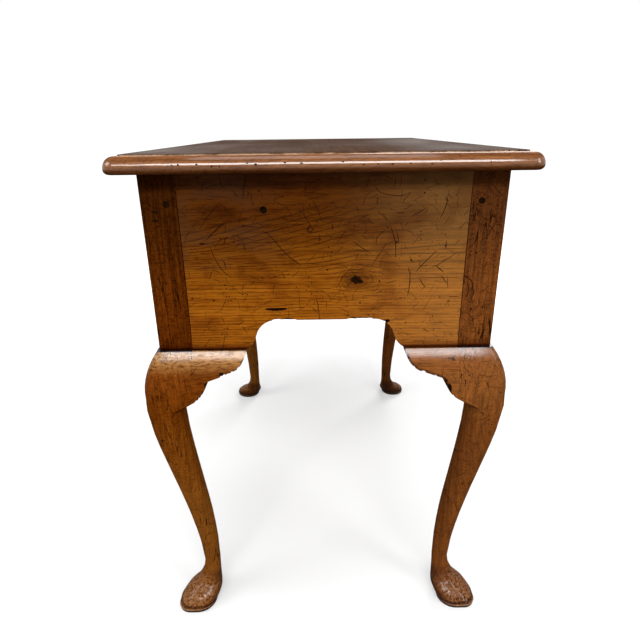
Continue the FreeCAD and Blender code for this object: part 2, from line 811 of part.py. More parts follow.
def peg(name, x, y, height, along):
    """A draw-bore peg from a post's outer face inwards."""
    made = doc.addObject("Part::Cylinder", name)
    made.Placement.Rotation = FreeCAD.Rotation(Vector(0, 0, 1), along)
    made.setExpression("Radius", d.peg_radius.text)
    made.setExpression("Height", d.peg_long.text)
    return place(made, x, y, height)


def make_pegs():
    """All draw-bore pegs of the frame: side panels at the top, apron and back."""
    into = half_deep - d.post + d.peg_in
    along_x = half_long - d.post + d.peg_in
    front_left = [
        peg("peg_side", -half_long, -into, d.peg_high, Vector(1, 0, 0)),
        peg("peg_apron", -along_x, -half_deep, d.peg_low, Vector(0, 1, 0)),
    ]
    back_left = [
        peg("peg_side_back", -half_long, into, d.peg_high, Vector(1, 0, 0)),
        peg("peg_back_high", -along_x, half_deep, d.peg_high, Vector(0, -1, 0)),
        peg("peg_back_low", -along_x, half_deep, d.peg_low, Vector(0, -1, 0)),
    ]
    left = group("pegs_left", front_left + back_left)
    return group("pegs", [left, across("pegs_right", left)])


def screw(name, x, y):
    """A countersunk screw driven up into the top."""
    head = doc.addObject("Part::Cone", name + "_head")
    head.setExpression("Radius1", d.screw_head.text)
    head.setExpression("Radius2", d.screw_radius.text)
    head.setExpression("Height", d.screw_cone.text)
    shank = doc.addObject("Part::Cylinder", name + "_shank")
    shank.setExpression("Radius", d.screw_radius.text)
    shank.setExpression("Height", d.screw_long.text)
    made = doc.addObject("Part::MultiFuse", name)
    made.Shapes = [head, shank]
    return place(made, x, y, d.ceiling)


def make_screws():
    """The screws that hold the top: three through the rail and two through each outer kicker."""
    rail = -half_deep + d.post / 2
    kicker = (post_x + panel_x) / 2
    places = [
        (-d.rail_screw_place, rail),
        (dim(0), rail),
        (d.rail_screw_place, rail),
        (-kicker, -d.kicker_screw_front),
        (-kicker, d.kicker_screw_back),
        (kicker, -d.kicker_screw_front),
        (kicker, d.kicker_screw_back),
    ]
    return group("screws", [screw(f"screw_{number}", x, y) for number, (x, y) in enumerate(places)])


def make_glue_blocks():
    """Blocks rubbed into the inner corners under the case, behind the returns."""
    side_in = panel_x - d.block_thick
    low, high = d.block_low, d.block_high
    side = box("block_side", (-panel_x, -post_y, low), (-side_in, -post_y + d.block_wide, high))
    apron = box(
        "block_apron",
        (-post_x, -panel_y, low),
        (-post_x + d.block_wide, -panel_y + d.block_thick, high),
    )
    left = group("blocks_left", [side, behind("block_side_back", side), apron])
    return group("blocks", [left, across("blocks_right", left)])


# Drawers


def make_side(name, x, floor, ceiling, tails):
    """A drawer side with its upper left corner at x: dovetail tails at both ends."""
    bottom = floor + d.lift
    top = ceiling - d.play - d.side_drop
    shoulder = -half_deep - d.lip_gap + d.front_thick
    back = d.drawer_rear - d.side_thick
    body = new_body(name + "_board")
    face = sketch_on(body, "YZ_Plane", name + "_outline", x)
    rectangle(face, shoulder, bottom, back, top)
    pad(body, face, d.side_thick)
    ends = sketch_on(body, "YZ_Plane", name + "_tails", x)
    pitch = (top - bottom) / tails
    neck, wide = pitch * d.tail_neck / 2, pitch * d.tail_end / 2
    reaches = {"front": (shoulder, shoulder - d.tail_long), "back": (back, d.drawer_rear)}
    for number in range(tails):
        middle = bottom + pitch * (number + 0.5)
        for end, (root, tip) in reaches.items():
            corners = [
                (root, middle - neck),
                (tip, middle - wide),
                (tip, middle + wide),
                (root, middle + neck),
            ]
            outline(ends, corners, f"{end}_{number}")
    pad(body, ends, d.side_thick)
    return body


def make_front(name, left, right, floor, ceiling):
    """A drawer front: the block between the sides and the lip with its thumb moulding."""
    lip_back = half_deep + d.lip_gap
    body = new_body(name + "_board")
    lip = sketch_on(body, "XZ_Plane", name + "_lip", lip_back)
    rectangle(lip, left - d.lip, floor - d.lip, right + d.lip, ceiling + d.lip)
    plate = pad(body, lip, d.lip_thick)
    face = -(lip_back + d.lip_thick).number
    fillet(body, plate, lambda p: abs(p.y - face) < 0.001, d.lip_round, name + "_moulding")
    block = sketch_on(body, "XZ_Plane", name + "_block", lip_back)
    rectangle(block, left + d.play, floor + d.lift, right - d.play, ceiling - d.play)
    pad(body, block, d.front_thick, reverse=True)
    return body


def make_drawer(name, left, right, floor, ceiling, tails, studs):
    """The five pieces of one drawer between the four sides of its opening."""
    first, last = left + d.play, right - d.play
    bottom_low = floor + d.lift + d.bottom_up
    bottom_high = bottom_low + d.bottom_thick
    front_rear = -half_deep - d.lip_gap + d.front_thick
    back_top = ceiling - d.play - d.side_drop - d.back_drop
    front_board = make_front(name + "_front", left, right, floor, ceiling)
    left_board = make_side(name + "_left", first, floor, ceiling, tails)
    right_board = make_side(name + "_right", last - d.side_thick, floor, ceiling, tails)
    back_board = box(
        name + "_back_board",
        (first, d.drawer_rear - d.side_thick, bottom_high),
        (last, d.drawer_rear, back_top),
    )
    reach = d.side_thick - d.groove
    bottom = box(
        name + "_bottom_board",
        (first + reach, front_rear - d.groove, bottom_low),
        (last - reach, d.drawer_rear, bottom_high),
    )
    sides = (left_board, right_board)
    keep(cut(name + "_front_cut", front_board, *sides, bottom, studs), name + "_front")
    keep(cut(name + "_left_cut", left_board, bottom), name + "_side_left")
    keep(cut(name + "_right_cut", right_board, bottom), name + "_side_right")
    keep(cut(name + "_back_cut", back_board, *sides), name + "_back")
    keep(bottom, name + "_bottom")


# Handles, drawn with the middle of the plate's back at the origin


def make_plate():
    """The batwing plate of a handle, its outline mirrored about the middle."""
    body = new_body("handle_plate_board")
    face = sketch_on(body, "XZ_Plane", "plate_outline")
    points = [(getattr(d, f"plate_{row[0]}_out"), getattr(d, f"plate_{row[0]}_up")) for row in PLATE]
    arcs = [(getattr(d, f"plate_{row[0]}_arc"), row[4]) for row in PLATE[:-1]]
    right = [(*point, *arc) for point, arc in zip(points, arcs)]
    left = [(-point[0], point[1], *arc) for point, arc in zip(points[:0:-1], arcs[::-1])]
    outline(face, right + left)
    pad(body, face, d.plate_thick)
    return body


def make_stud():
    """A handle post at the right: bolt, collar, neck and a ball head with the hole for the bail's pin."""
    body = new_body("handle_stud")
    profile = sketch_on(body, "XY_Plane", "stud_profile")
    pivot = -d.plate_thick - d.pivot_reach
    collar_front = -d.plate_thick - d.collar_thick
    bolt_rear = d.lip_thick + d.front_thick + d.bolt_end
    root = pivot + (d.head_radius * d.head_radius - d.neck_radius * d.neck_radius).root()
    corners = [
        (dim(0), bolt_rear),
        (d.bolt_radius, bolt_rear),
        (d.bolt_radius, -d.plate_thick),
        (d.collar_radius, -d.plate_thick),
        (d.collar_radius, collar_front),
        (d.neck_radius, collar_front),
        (d.neck_radius, root, d.head_radius, LEFT),
        (dim(0), pivot - d.head_radius),
    ]
    outline(profile, corners)
    turn(body, profile, "V_Axis")
    side = sketch_on(body, "YZ_Plane", "pin_hole", -d.head_radius - 1)
    circle(side, pivot, 0, d.rod_radius + d.pin_play)
    pocket(body, side, 2 * d.head_radius + 2, reverse=True)
    return place(body, d.pivot_out, 0, d.pivot_up)


def make_bail():
    """The bail: one bent rod whose two ends are the pins, with a swelling in the middle of the grip."""
    body = new_body("handle_bail")
    path = sketch_on(body, "XZ_Plane", "bail_path")
    pin = d.pivot_out - d.head_radius
    out = d.pivot_out + d.bail_out
    low = -d.bail_drop
    half = [
        (pin, dim(0)),
        (out - d.bail_turn, dim(0), d.bail_turn, LEFT),
        (out, -d.bail_turn),
        (out, low + d.bail_bend, d.bail_bend, LEFT),
    ]
    far = [
        (out - d.bail_bend, low),
        (-out + d.bail_bend, low, d.bail_bend, LEFT),
        (-out, low + d.bail_bend),
        (-out, -d.bail_turn, d.bail_turn, LEFT),
        (-out + d.bail_turn, dim(0)),
        (-pin, dim(0)),
    ]
    outline(path, half + far, closed=False)
    end = sketch_on(body, "YZ_Plane", "bail_section", pin)
    circle(end, 0, 0, d.rod_radius)
    rod = body.newObject("PartDesign::AdditivePipe", "bail_rod")
    rod.Profile = end
    rod.Spine = (path, [f"Edge{number}" for number in range(1, path.GeometryCount + 1)])
    doc.recompute()
    bulb = sketch_on(body, "XZ_Plane", "bail_bulb")
    bulb.setExpression("AttachmentOffset.Base.y", low.text)
    radius = (d.bulb_half * d.bulb_half + d.bulb_radius * d.bulb_radius) / (2 * d.bulb_radius)
    outline(bulb, [(-d.bulb_half, dim(0)), (d.bulb_half, dim(0), radius, RIGHT)])
    turn(body, bulb, "H_Axis")
    return place(body, 0, -d.plate_thick - d.pivot_reach, d.pivot_up)


def make_handle():
    """The three parts of a handle: plate, posts with their nuts, and bail."""
    stud = make_stud()
    inside = d.lip_thick + d.front_thick
    half = d.nut_wide / 2
    block = box(
        "nut_block",
        (d.pivot_out - half, inside, d.pivot_up - half),
        (d.pivot_out + half, inside + d.nut_thick, d.pivot_up + half),
    )
    post = group("handle_post", [stud, cut("nut", block, stud)])
    posts = group("handle_posts", [post, across("handle_post_left", post)])
    return {"plate": cut("plate_cut", make_plate(), posts), "posts": posts, "bail": make_bail()}


def copy_to(name, source, x, y, z):
    """The same piece at another place."""
    return place(group(name, [source]), x, y, z)


# The lowboy


def add_case():
    """Top, legs, returns, panels, apron, rail, dividers and fasteners."""
    screws = keep(make_screws(), "top_screws")
    pegs = keep(make_pegs(), "joint_pegs")
    keep(cut("top_cut", make_top(), screws), "top")
    side_board, back_board, apron_board, rail_board = (
        make_side_panel(),
        make_back_panel(),
        make_apron(),
        make_top_rail(),
    )
    blank = make_leg()
    front_joints = (side_board, apron_board, rail_board, pegs)
    front_leg = keep(cut("leg_front_cut", blank, *front_joints), "leg_front_left")
    back_leg = keep(
        cut("leg_back_cut", behind("leg_back_blank", blank), side_board, back_board, pegs),
        "leg_back_left",
    )
    keep(across("leg_front_across", front_leg), "leg_front_right")
    keep(across("leg_back_across", back_leg), "leg_back_right")
    side_return = keep(make_side_return(), "knee_return_front_left_side")
    back_return = keep(behind("side_return_back", side_return), "knee_return_back_left_side")
    front_return = keep(make_front_return(), "knee_return_front_left_face")
    keep(across("side_return_across", side_return), "knee_return_front_right_side")
    keep(across("back_return_across", back_return), "knee_return_back_right_side")
    keep(across("front_return_across", front_return), "knee_return_front_right_face")
    side_panel = keep(cut("side_panel_cut", side_board, pegs), "side_panel_left")
    keep(across("side_panel_across", side_panel), "side_panel_right")
    keep(cut("back_panel_cut", back_board, pegs), "back_panel")
    divider = keep(make_divider(), "divider_left")
    other = keep(across("divider_across", divider), "divider_right")
    keep(cut("apron_cut", apron_board, pegs, divider, other), "front_apron")
    keep(cut("rail_cut", rail_board, screws, divider, other), "top_rail")
    keep(make_glue_blocks(), "glue_blocks")
    return screws


def add_drawer_supports(screws):
    """Partitions, runners and kickers, with their twins at the right."""
    low = d.deep_floor - d.runner_thick
    strip_low = d.shallow_floor - d.runner_thick
    outer_kicker = box(
        "kicker_outer_board",
        (-panel_x, -post_y, d.ceiling),
        (-post_x + d.kicker_reach, post_y, case_top),
    )
    left = {
        "partition_left": box(
            "partition_board",
            (-divider_outer, -post_y, low),
            (-divider_inner, panel_y, d.ceiling),
        ),
        "runner_outer_left": make_outer_runner(),
        "runner_inner_left": box(
            "runner_inner_board",
            (-divider_outer - d.strip_wide, -panel_y, low),
            (-divider_outer, panel_y, d.deep_floor),
        ),
        "runner_centre_left": box(
            "runner_centre_board",
            (-divider_inner, -panel_y, strip_low),
            (-divider_inner + d.strip_wide, panel_y, d.shallow_floor),
        ),
        "kicker_inner_left": box(
            "kicker_inner_board",
            (-divider_outer - d.kicker_reach, -post_y, d.ceiling),
            (-divider_inner + d.kicker_reach, panel_y, case_top),
        ),
        "kicker_outer_left": cut("kicker_outer_cut", outer_kicker, screws),
    }
    for label, board in left.items():
        keep(board, label)
        keep(across(label + "_across", board), label.replace("left", "right"))


def add_drawers():
    """Three drawers with their handles. The right one is the left one's mirror image."""
    handle = make_handle()
    face = -half_deep - d.lip_gap - d.lip_thick
    openings = {
        "drawer_left": (-post_x, -divider_outer, d.deep_floor, d.ceiling, 4),
        "drawer_centre": (-divider_inner, divider_inner, d.shallow_floor, d.ceiling, 2),
    }
    for name, (left, right, floor, ceiling, tails) in openings.items():
        middle, height = (left + right) / 2, (floor + ceiling) / 2
        for part, source in handle.items():
            keep(copy_to(f"{name}_{part}_copy", source, middle, face, height), f"{name}_handle_{part}")
        studs = pieces[name + "_handle_posts"]
        make_drawer(name, left, right, floor, ceiling, tails, studs)
    swapped = {"side_left": "side_right", "side_right": "side_left"}
    for label in [label for label in pieces if label.startswith("drawer_left_")]:
        part = label.removeprefix("drawer_left_")
        twin = "drawer_right_" + swapped.get(part, part)
        keep(across(twin + "_across", pieces[label]), twin)


def write_pieces():
    """Checks every object and writes each piece to its own file."""
    doc.recompute()
    for thing in doc.Objects:
        if "Invalid" in thing.State or "Error" in thing.State:
            raise RuntimeError(f"{thing.Name} has the state {thing.State}")
    os.makedirs("parts", exist_ok=True)
    for label, piece in pieces.items():
        if piece.Shape.isNull() or not piece.Shape.isValid():
            raise RuntimeError(f"{label} has no valid shape")
        piece.Shape.exportStep(f"parts/{label}.step")


top_screws = add_case()
add_drawer_supports(top_screws)
add_drawers()
write_pieces()
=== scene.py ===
"""Looks of the lowboy: an old waxed oak dressing table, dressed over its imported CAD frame.

Metres, in the frame of the CAD model: X along the front, the front looks to -Y, Z is up. Colours are
linear, and the scales of the noises are per metre.
"""

import math
import random

import bmesh
import bpy
from mathutils import Matrix, Vector


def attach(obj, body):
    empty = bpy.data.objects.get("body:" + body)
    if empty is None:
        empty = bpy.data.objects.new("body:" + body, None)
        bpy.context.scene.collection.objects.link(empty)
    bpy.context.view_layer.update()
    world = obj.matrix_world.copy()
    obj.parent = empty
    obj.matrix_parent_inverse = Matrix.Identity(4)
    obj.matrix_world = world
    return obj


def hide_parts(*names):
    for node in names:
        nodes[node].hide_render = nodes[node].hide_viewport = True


X, Y, Z = 0, 1, 2
MM = 0.001
LEDGE = 0.466  # top of the knees, where the posts begin
CASE_END = 0.365  # outer faces of the side panels and the posts, along X
CASE_FRONT = 0.225  # outer faces of the posts, along Y
POST_IN = 0.18  # inner faces of the posts, along Y
ARCH_END = 0.112  # just past the ends of the arch under a side panel, along Y
ARCH_TOP = 0.512  # just above that arch
SURFACE = 0.72  # the flat of the top
SHOULDER = 0.7185  # top of its moulding, below the small step up to the flat
STEP_IN = 0.017  # that step, from the edge
TOP_END = 0.395  # edges of the top, along X
TOP_FRONT = 0.257  # and along Y
OCCLUSION_SAMPLES = 6

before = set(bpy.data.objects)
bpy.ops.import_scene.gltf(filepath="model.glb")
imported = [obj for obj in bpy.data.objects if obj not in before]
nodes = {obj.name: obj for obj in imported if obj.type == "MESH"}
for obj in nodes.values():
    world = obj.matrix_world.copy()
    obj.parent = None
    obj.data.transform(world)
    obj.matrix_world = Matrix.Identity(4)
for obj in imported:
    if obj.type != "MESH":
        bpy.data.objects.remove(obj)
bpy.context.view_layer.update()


# ------------ node graphs


class Graph:
    """A material's nodes, made by short calls that take numbers, tuples or other nodes' outputs."""

    def __init__(self, name):
        self.material = bpy.data.materials.new(name)
        self.material.use_nodes = True
        self.tree = self.material.node_tree
        self.tree.nodes.clear()
        self.shader = self.add("ShaderNodeBsdfPrincipled")
        output = self.add("ShaderNodeOutputMaterial")
        self.tree.links.new(self.shader.outputs["BSDF"], output.inputs["Surface"])

    def put(self, socket, value):
        if isinstance(value, bpy.types.NodeSocket):
            self.tree.links.new(value, socket)
        else:
            socket.default_value = value

    def add(self, kind, inputs=(), **settings):
        """A new node. The keys of inputs are names or numbers of its sockets."""
        node = self.tree.nodes.new(kind)
        for name, value in settings.items():
            setattr(node, name, value)
        for name, value in dict(inputs).items():
            self.put(node.inputs[name], value)
        return node

    def place(self):
        return self.add("ShaderNodeTexCoord").outputs["Object"]

    def math(self, operation, a, b=0.0):
        return self.add("ShaderNodeMath", {0: a, 1: b}, operation=operation).outputs[0]

    def chain(self, operation, values):
        found = values[0]
        for value in values[1:]:
            found = self.math(operation, found, value)
        return found

    def sum(self, *values):
        return self.chain("ADD", values)

    def product(self, *values):
        return self.chain("MULTIPLY", values)

    def most(self, *values):
        return self.chain("MAXIMUM", values)

    def vector(self, operation, a, b=(0.0, 0.0, 0.0), output="Vector"):
        node = self.add("ShaderNodeVectorMath", {0: a, 1: b}, operation=operation)
        return node.outputs[output]

    def scaled(self, vector, factor):
        node = self.add("ShaderNodeVectorMath", {0: vector}, operation="SCALE")
        self.put(node.inputs["Scale"], factor)
        return node.outputs["Vector"]

    def split(self, vector):
        return list(self.add("ShaderNodeSeparateXYZ", {0: vector}).outputs)

    def join(self, x, y, z):
        return self.add("ShaderNodeCombineXYZ", {0: x, 1: y, 2: z}).outputs[0]

    def noise(self, where, detail=2.0, roughness=0.5, output="Fac"):
        inputs = {"Vector": where, "Scale": 1.0, "Detail": detail, "Roughness": roughness}
        return self.add("ShaderNodeTexNoise", inputs).outputs[output]

    def step(self, value, low, high):
        """0 below low, 1 above high and smooth between them; falling where low is above high."""
        inputs = {"Value": value, "From Min": low, "From Max": high}
        return self.add("ShaderNodeMapRange", inputs, interpolation_type="SMOOTHSTEP").outputs[0]

    def mix(self, factor, a, b, blend="MIX"):
        node = self.add("ShaderNodeMix", data_type="RGBA", blend_type=blend)
        for index, value in ((0, factor), (6, a), (7, b)):
            if isinstance(value, tuple):
                value = (*value, 1.0)
            self.put(node.inputs[index], value)
        return node.outputs[2]

    def dim(self, colour, mask, colour_at_one):
        """Multiplies the colour by colour_at_one where the mask is one."""
        return self.mix(mask, colour, colour_at_one, "MULTIPLY")

    def openness(self, reach, inside=False):
        """1 in the open, and less where something is within reach: corners, or edges seen from inside."""
        settings = {"samples": OCCLUSION_SAMPLES, "inside": inside}
        return self.add("ShaderNodeAmbientOcclusion", {"Distance": reach}, **settings).outputs["AO"]

    def bump(self, height, depth):
        inputs = {"Height": height, "Distance": depth}
        self.put(self.shader.inputs["Normal"], self.add("ShaderNodeBump", inputs).outputs[0])


def scratch_layer(graph, where, cells_per_metre, half_width, reach, bend, chosen):
    """Thin curved scratches, one in some cells, where the surface cuts a bent sheet through the cell.
    reach is half of their length, and chosen the share of the cells that has one."""
    cells = graph.add("ShaderNodeTexVoronoi", {"Vector": where, "Scale": cells_per_metre}, feature="F1")
    chance = cells.outputs["Color"]
    local = graph.vector("SUBTRACT", where, cells.outputs["Position"])
    sheet = graph.vector("NORMALIZE", graph.vector("SUBTRACT", chance, (0.5, 0.5, 0.5)))
    along = graph.vector("NORMALIZE", graph.vector("CROSS_PRODUCT", sheet, (0.31, 0.62, 0.72)))
    across = graph.vector("DOT_PRODUCT", local, sheet, "Value")
    run = graph.vector("DOT_PRODUCT", local, along, "Value")
    away = graph.math("ABSOLUTE", graph.sum(across, graph.product(run, run, bend)))
    line = graph.step(away, half_width, half_width * 0.3)
    ends = graph.step(graph.vector("LENGTH", local, output="Value"), reach, reach * 0.5)
    depth, odds, _ = graph.split(chance)
    picked = graph.math("GREATER_THAN", odds, 1.0 - chosen)
    return graph.product(line, ends, picked, graph.sum(0.45, graph.product(depth, 0.55)))


def pit_layer(graph, where, cells_per_metre, radius, low, high):
    """Small round holes in clusters, where a slow noise is between low and high or above."""
    cells = graph.add("ShaderNodeTexVoronoi", {"Vector": where, "Scale": cells_per_metre}, feature="F1")
    local = graph.vector("SUBTRACT", where, cells.outputs["Position"])
    hole = graph.step(graph.vector("LENGTH", local, output="Value"), radius, radius * 0.55)
    cluster = graph.noise(graph.scaled(where, 17.0), detail=1.0)
    picked = graph.math("GREATER_THAN", graph.split(cells.outputs["Color"])[1], 0.4)
    return graph.product(hole, picked, graph.step(cluster, low, high))


# ------------ oak

KNOT = (0.041, 0.562)  # the knot in each side panel, along Y and Z
KNOT_SIZE = (0.023, 0.0145)  # and how far it reaches


def plain_rings(graph, place, along, width, pith):
    """Ring count of a board whose tree stood at pith, measured across the fibres from the origin."""
    axes = graph.split(place)
    first, second = (axes[axis] for axis in (X, Y, Z) if axis != along)
    away = (graph.math("SUBTRACT", first, pith[0]), graph.math("SUBTRACT", second, pith[1]))
    squares = [graph.math("POWER", distance, 2.0) for distance in away]
    return graph.product(graph.math("SQRT", graph.sum(*squares)), 1.0 / width)


def panel_rings(graph, place, *_):
    """Ring count over a side panel: close and level low down, fanning out and arched higher up."""
    x, y, z = graph.split(place)
    past_knot = graph.math("SUBTRACT", z, KNOT[1])
    beside_knot = graph.math("SUBTRACT", y, KNOT[0])
    spread = graph.sum(
        graph.math("POWER", graph.product(beside_knot, 34.0), 2.0),
        graph.math("POWER", graph.product(past_knot, 42.0), 2.0),
    )
    push = graph.math("EXPONENT", graph.product(spread, -1.0))
    level = graph.sum(z, graph.product(past_knot, push, -0.5))
    fan = graph.product(graph.step(z, 0.565, 0.615), graph.math("MINIMUM", y, 0.04), -0.27)
    swoop = graph.product(graph.step(z, 0.635, 0.69), graph.math("MAXIMUM", y, 0.0), 0.16)
    inwards = graph.product(graph.math("SUBTRACT", CASE_END, graph.math("ABSOLUTE", x)), 0.4)
    level = graph.sum(level, fan, swoop, inwards)
    return graph.sum(graph.product(level, 733.0), graph.product(level, level, -483.0))  # wider apart high up


# Layers of fine scratches: shift of the pattern, cells in a metre, half width, half length, bend, and
# the share of the cells that has one.
SCRATCH_LAYERS = [
    ((0.0, 0.0, 0.0), 24.0, 0.6 * MM, 24 * MM, 9.0, 0.5),
    ((0.31, 0.17, 0.43), 45.0, 0.5 * MM, 13 * MM, 20.0, 1.0),
    ((0.73, 0.91, 0.13), 90.0, 0.35 * MM, 7 * MM, 40.0, 1.0),
]
# Layers of pits: shift of the pattern, cells in a metre, radius, and the noise at which their clusters
# begin and are full.
PIT_LAYERS = [
    ((0.0, 0.0, 0.0), 95.0, 1.5 * MM, 0.66, 0.72),
    ((0.2, 0.6, 0.4), 230.0, 0.7 * MM, 0.62, 0.7),
]


def fine_damage(graph, place, marks, pits):
    """Fine scratches and pits: 0 on sound wood and up to 0.9 in them."""
    wobble = graph.noise(graph.scaled(place, 60.0), 2.0, 0.5, "Color")
    bent = graph.vector("ADD", place, graph.scaled(wobble, 5 * MM))
    scratches = [
        scratch_layer(graph, graph.vector("ADD", bent, shift), cells, half_width, reach, bend, marks * share)
        for shift, cells, half_width, reach, bend, share in SCRATCH_LAYERS
    ]
    fewer = 0.2 * pits
    holes = [
        pit_layer(graph, graph.vector("ADD", bent, shift), cells, radius, low - fewer, high - fewer)
        for shift, cells, radius, low, high in PIT_LAYERS
    ]
    return graph.most(graph.product(graph.most(*scratches), 0.85), graph.product(graph.most(*holes), 0.9))


def oak(name, grain, light, middle, dark, rings=plain_rings, width=0.006, pith=(0.25, 0.12), line=0.6,
        marks=0.5, pits=0.5, checks=0.0, cleats=0.0, tones=None, fade=None, wax=0.05, polish=None, rough=0.45,
        wax_rough=0.18):
    """Old oak. grain is the axis its fibres run along; light, middle and dark are its tones. line is
    how dark the growth rings are, and marks, pits and checks say how much of each damage there is.
    Beyond cleats, in metres from the middle, the fibres run along Y. tones is a function that shifts
    the finished colour over the piece, fade one that says how much of the growth lines is left, and
    polish one that says how thick its wax is, instead of wax. rough is how dull the wood itself is, and
    wax_rough how dull the wax."""
    graph = Graph(name)
    place = graph.place()
    axes = graph.split(place)
    first, second = (axes[axis] for axis in (X, Y, Z) if axis != grain)
    board = graph.join(axes[grain], first, second)
    if cleats:
        past = graph.math("GREATER_THAN", graph.math("ABSOLUTE", axes[X]), cleats)
        turned = graph.join(axes[Y], axes[X], axes[Z])
        kept = graph.scaled(board, graph.math("SUBTRACT", 1.0, past))
        board = graph.vector("ADD", kept, graph.scaled(turned, past))

    def fibres(run_scale, cross_scale, detail=2.0, roughness=0.5):
        stretched = graph.vector("MULTIPLY", board, (run_scale, cross_scale, cross_scale))
        return graph.noise(stretched, detail, roughness)

    def wave(run_scale, cross_scale, size):
        return graph.product(graph.math("SUBTRACT", fibres(run_scale, cross_scale, 1.0), 0.5), size)

    count = rings(graph, place, grain, width, pith)
    count = graph.sum(count, wave(3.2, 9.0, 4.0), wave(11.0, 45.0, 1.3))
    within = graph.math("FRACT", count)
    early = graph.product(graph.step(within, 0.0, 0.05), graph.step(within, 0.36, 0.1))
    chance = graph.add("ShaderNodeTexWhiteNoise", {"W": graph.math("FLOOR", count)}, noise_dimensions="1D")
    early = graph.product(early, graph.sum(0.35, graph.product(chance.outputs["Value"], 0.65)))
    pores = graph.step(fibres(60.0, 900.0, 2.0, 0.6), 0.5, 0.64)
    streaks = fibres(7.0, 210.0, 3.0, 0.6)
    mottle = graph.noise(graph.scaled(place, 30.0), 4.0, 0.62)
    blotch = graph.noise(graph.scaled(place, 8.0), 2.0, 0.5)

    colour = graph.mix(graph.step(streaks, 0.34, 0.68), middle, light)
    colour = graph.mix(graph.product(graph.step(blotch, 0.4, 0.72), 0.7), colour, middle)
    lines = graph.product(early, graph.sum(0.72, graph.product(pores, 0.28)))
    if fade:
        lines = graph.product(lines, fade(graph, place))
    colour = graph.mix(graph.product(lines, line), colour, dark)
    colour = graph.dim(colour, graph.product(pores, 0.65), (0.5, 0.42, 0.36))
    colour = graph.dim(colour, graph.step(mottle, 0.54, 0.76), (0.7, 0.62, 0.55))
    if tones:
        colour = tones(graph, colour, place)

    damage = fine_damage(graph, place, marks, pits)
    if checks:
        ridge = graph.math("ABSOLUTE", graph.math("SUBTRACT", fibres(9.0, 150.0, 1.0), 0.5))
        patch = graph.step(graph.noise(graph.scaled(place, 24.0), 1.0), 0.5, 0.62)
        split = graph.product(graph.step(ridge, 0.022, 0.006), patch, checks)
        damage = graph.most(damage, split)
    colour = graph.mix(damage, colour, tuple(0.2 * tone for tone in dark))
    # painted shade: darker in corners and recesses, where other surfaces are near
    corner_shade = graph.step(graph.openness(10 * MM), 0.85, 0.35)
    colour = graph.dim(colour, corner_shade, (0.35, 0.27, 0.2))

    graph.put(graph.shader.inputs["Base Color"], colour)
    dullness = graph.sum(rough, graph.product(mottle, 0.2), graph.product(damage, 0.3))
    graph.put(graph.shader.inputs["Roughness"], graph.math("MINIMUM", dullness, 1.0))
    graph.shader.inputs["Specular IOR Level"].default_value = 0.0
    graph.put(graph.shader.inputs["Coat Weight"], polish(graph, place) if polish else wax)
    graph.shader.inputs["Coat Roughness"].default_value = wax_rough
    surface = graph.sum(graph.product(mottle, 0.25), graph.product(pores, -0.25))
    height = graph.sum(surface, graph.product(lines, -0.3), graph.product(damage, -1.0))
    graph.bump(height, 0.5 * MM)
    return graph.material


# ------------ tones of the pieces

DIRT_AND_SHADE = (0.3, 0.24, 0.24)  # what dirt in cracks, and painted shade on sides turned from the light, leave of a colour


def shade_above_ledge(graph, colour, z):
    """Painted shade in the corner above the ledge of a knee, darkest in a thin line at the joint."""
    colour = graph.dim(colour, graph.step(z, LEDGE + 16 * MM, LEDGE + 2 * MM), (0.62, 0.5, 0.45))
    return graph.dim(colour, graph.step(z, LEDGE + 5 * MM, LEDGE + 2 * MM), (0.3, 0.22, 0.2))


def knotted(graph, colour, place):
    """The knot of a side panel: dark in the middle, with rings round it."""
    _, y, z = graph.split(place)
    across = graph.product(graph.math("SUBTRACT", y, KNOT[0]), 1.0 / KNOT_SIZE[0])
    upwards = graph.product(graph.math("SUBTRACT", z, KNOT[1]), 1.0 / KNOT_SIZE[1])
    away = graph.math("SQRT", graph.sum(graph.math("POWER", across, 2.0), graph.math("POWER", upwards, 2.0)))
    ripple = graph.noise(graph.scaled(place, 90.0), 3.0, 0.6)
    away = graph.sum(away, graph.product(ripple, 0.7), -0.35)
    circles = graph.math("FRACT", graph.product(away, 5.0))
    ring = graph.product(graph.step(circles, 0.0, 0.3), graph.step(circles, 0.9, 0.4))
    ring = graph.product(ring, graph.step(away, 1.5, 1.1), 0.5)
    colour = graph.dim(colour, graph.product(graph.step(away, 1.15, 0.6), 0.7), (0.5, 0.45, 0.5))
    colour = graph.dim(colour, ring, (0.5, 0.4, 0.35))
    return graph.dim(colour, graph.step(away, 0.42, 0.2), (0.12, 0.12, 0.15))


def panel_tones(graph, colour, place):
    """A side panel has painted shade under the overhang of the top, is dull in its upper front corner and
    has a painted sheen towards the back. It has one knot, and painted shade at its foot above the knees."""
    _, y, z = graph.split(place)
    # painted shade under the overhang of the top
    overhang_shade = graph.step(z, 0.5, 0.665)
    colour = graph.dim(colour, overhang_shade, (0.26, 0.22, 0.3))
    # painted sheen: paler towards the back
    back_sheen = graph.product(graph.step(y, -0.02, 0.17), 0.1)
    colour = graph.mix(back_sheen, colour, (0.62, 0.36, 0.12))
    cloud = graph.noise(graph.vector("MULTIPLY", place, (1.0, 14.0, 22.0)), 2.0, 0.55)
    colour = graph.dim(colour, graph.step(cloud, 0.52, 0.72), (0.66, 0.56, 0.55))
    corner = graph.product(graph.step(z, 0.574, 0.582), graph.step(y, -0.03, -0.11))
    dull = graph.product(corner, graph.step(cloud, 0.62, 0.4), 0.4)
    colour = graph.mix(dull, colour, (0.045, 0.02, 0.009))
    return shade_above_ledge(graph, knotted(graph, colour, place), z)


def panel_fade(graph, place):
    """The growth lines of a side panel are faint under the overhang of the top."""
    return graph.step(graph.split(place)[Z], 0.705, 0.61)


def facing(graph):
    """Which way the surface faces, along X, Y and Z."""
    return graph.split(graph.add("ShaderNodeNewGeometry").outputs["Normal"])


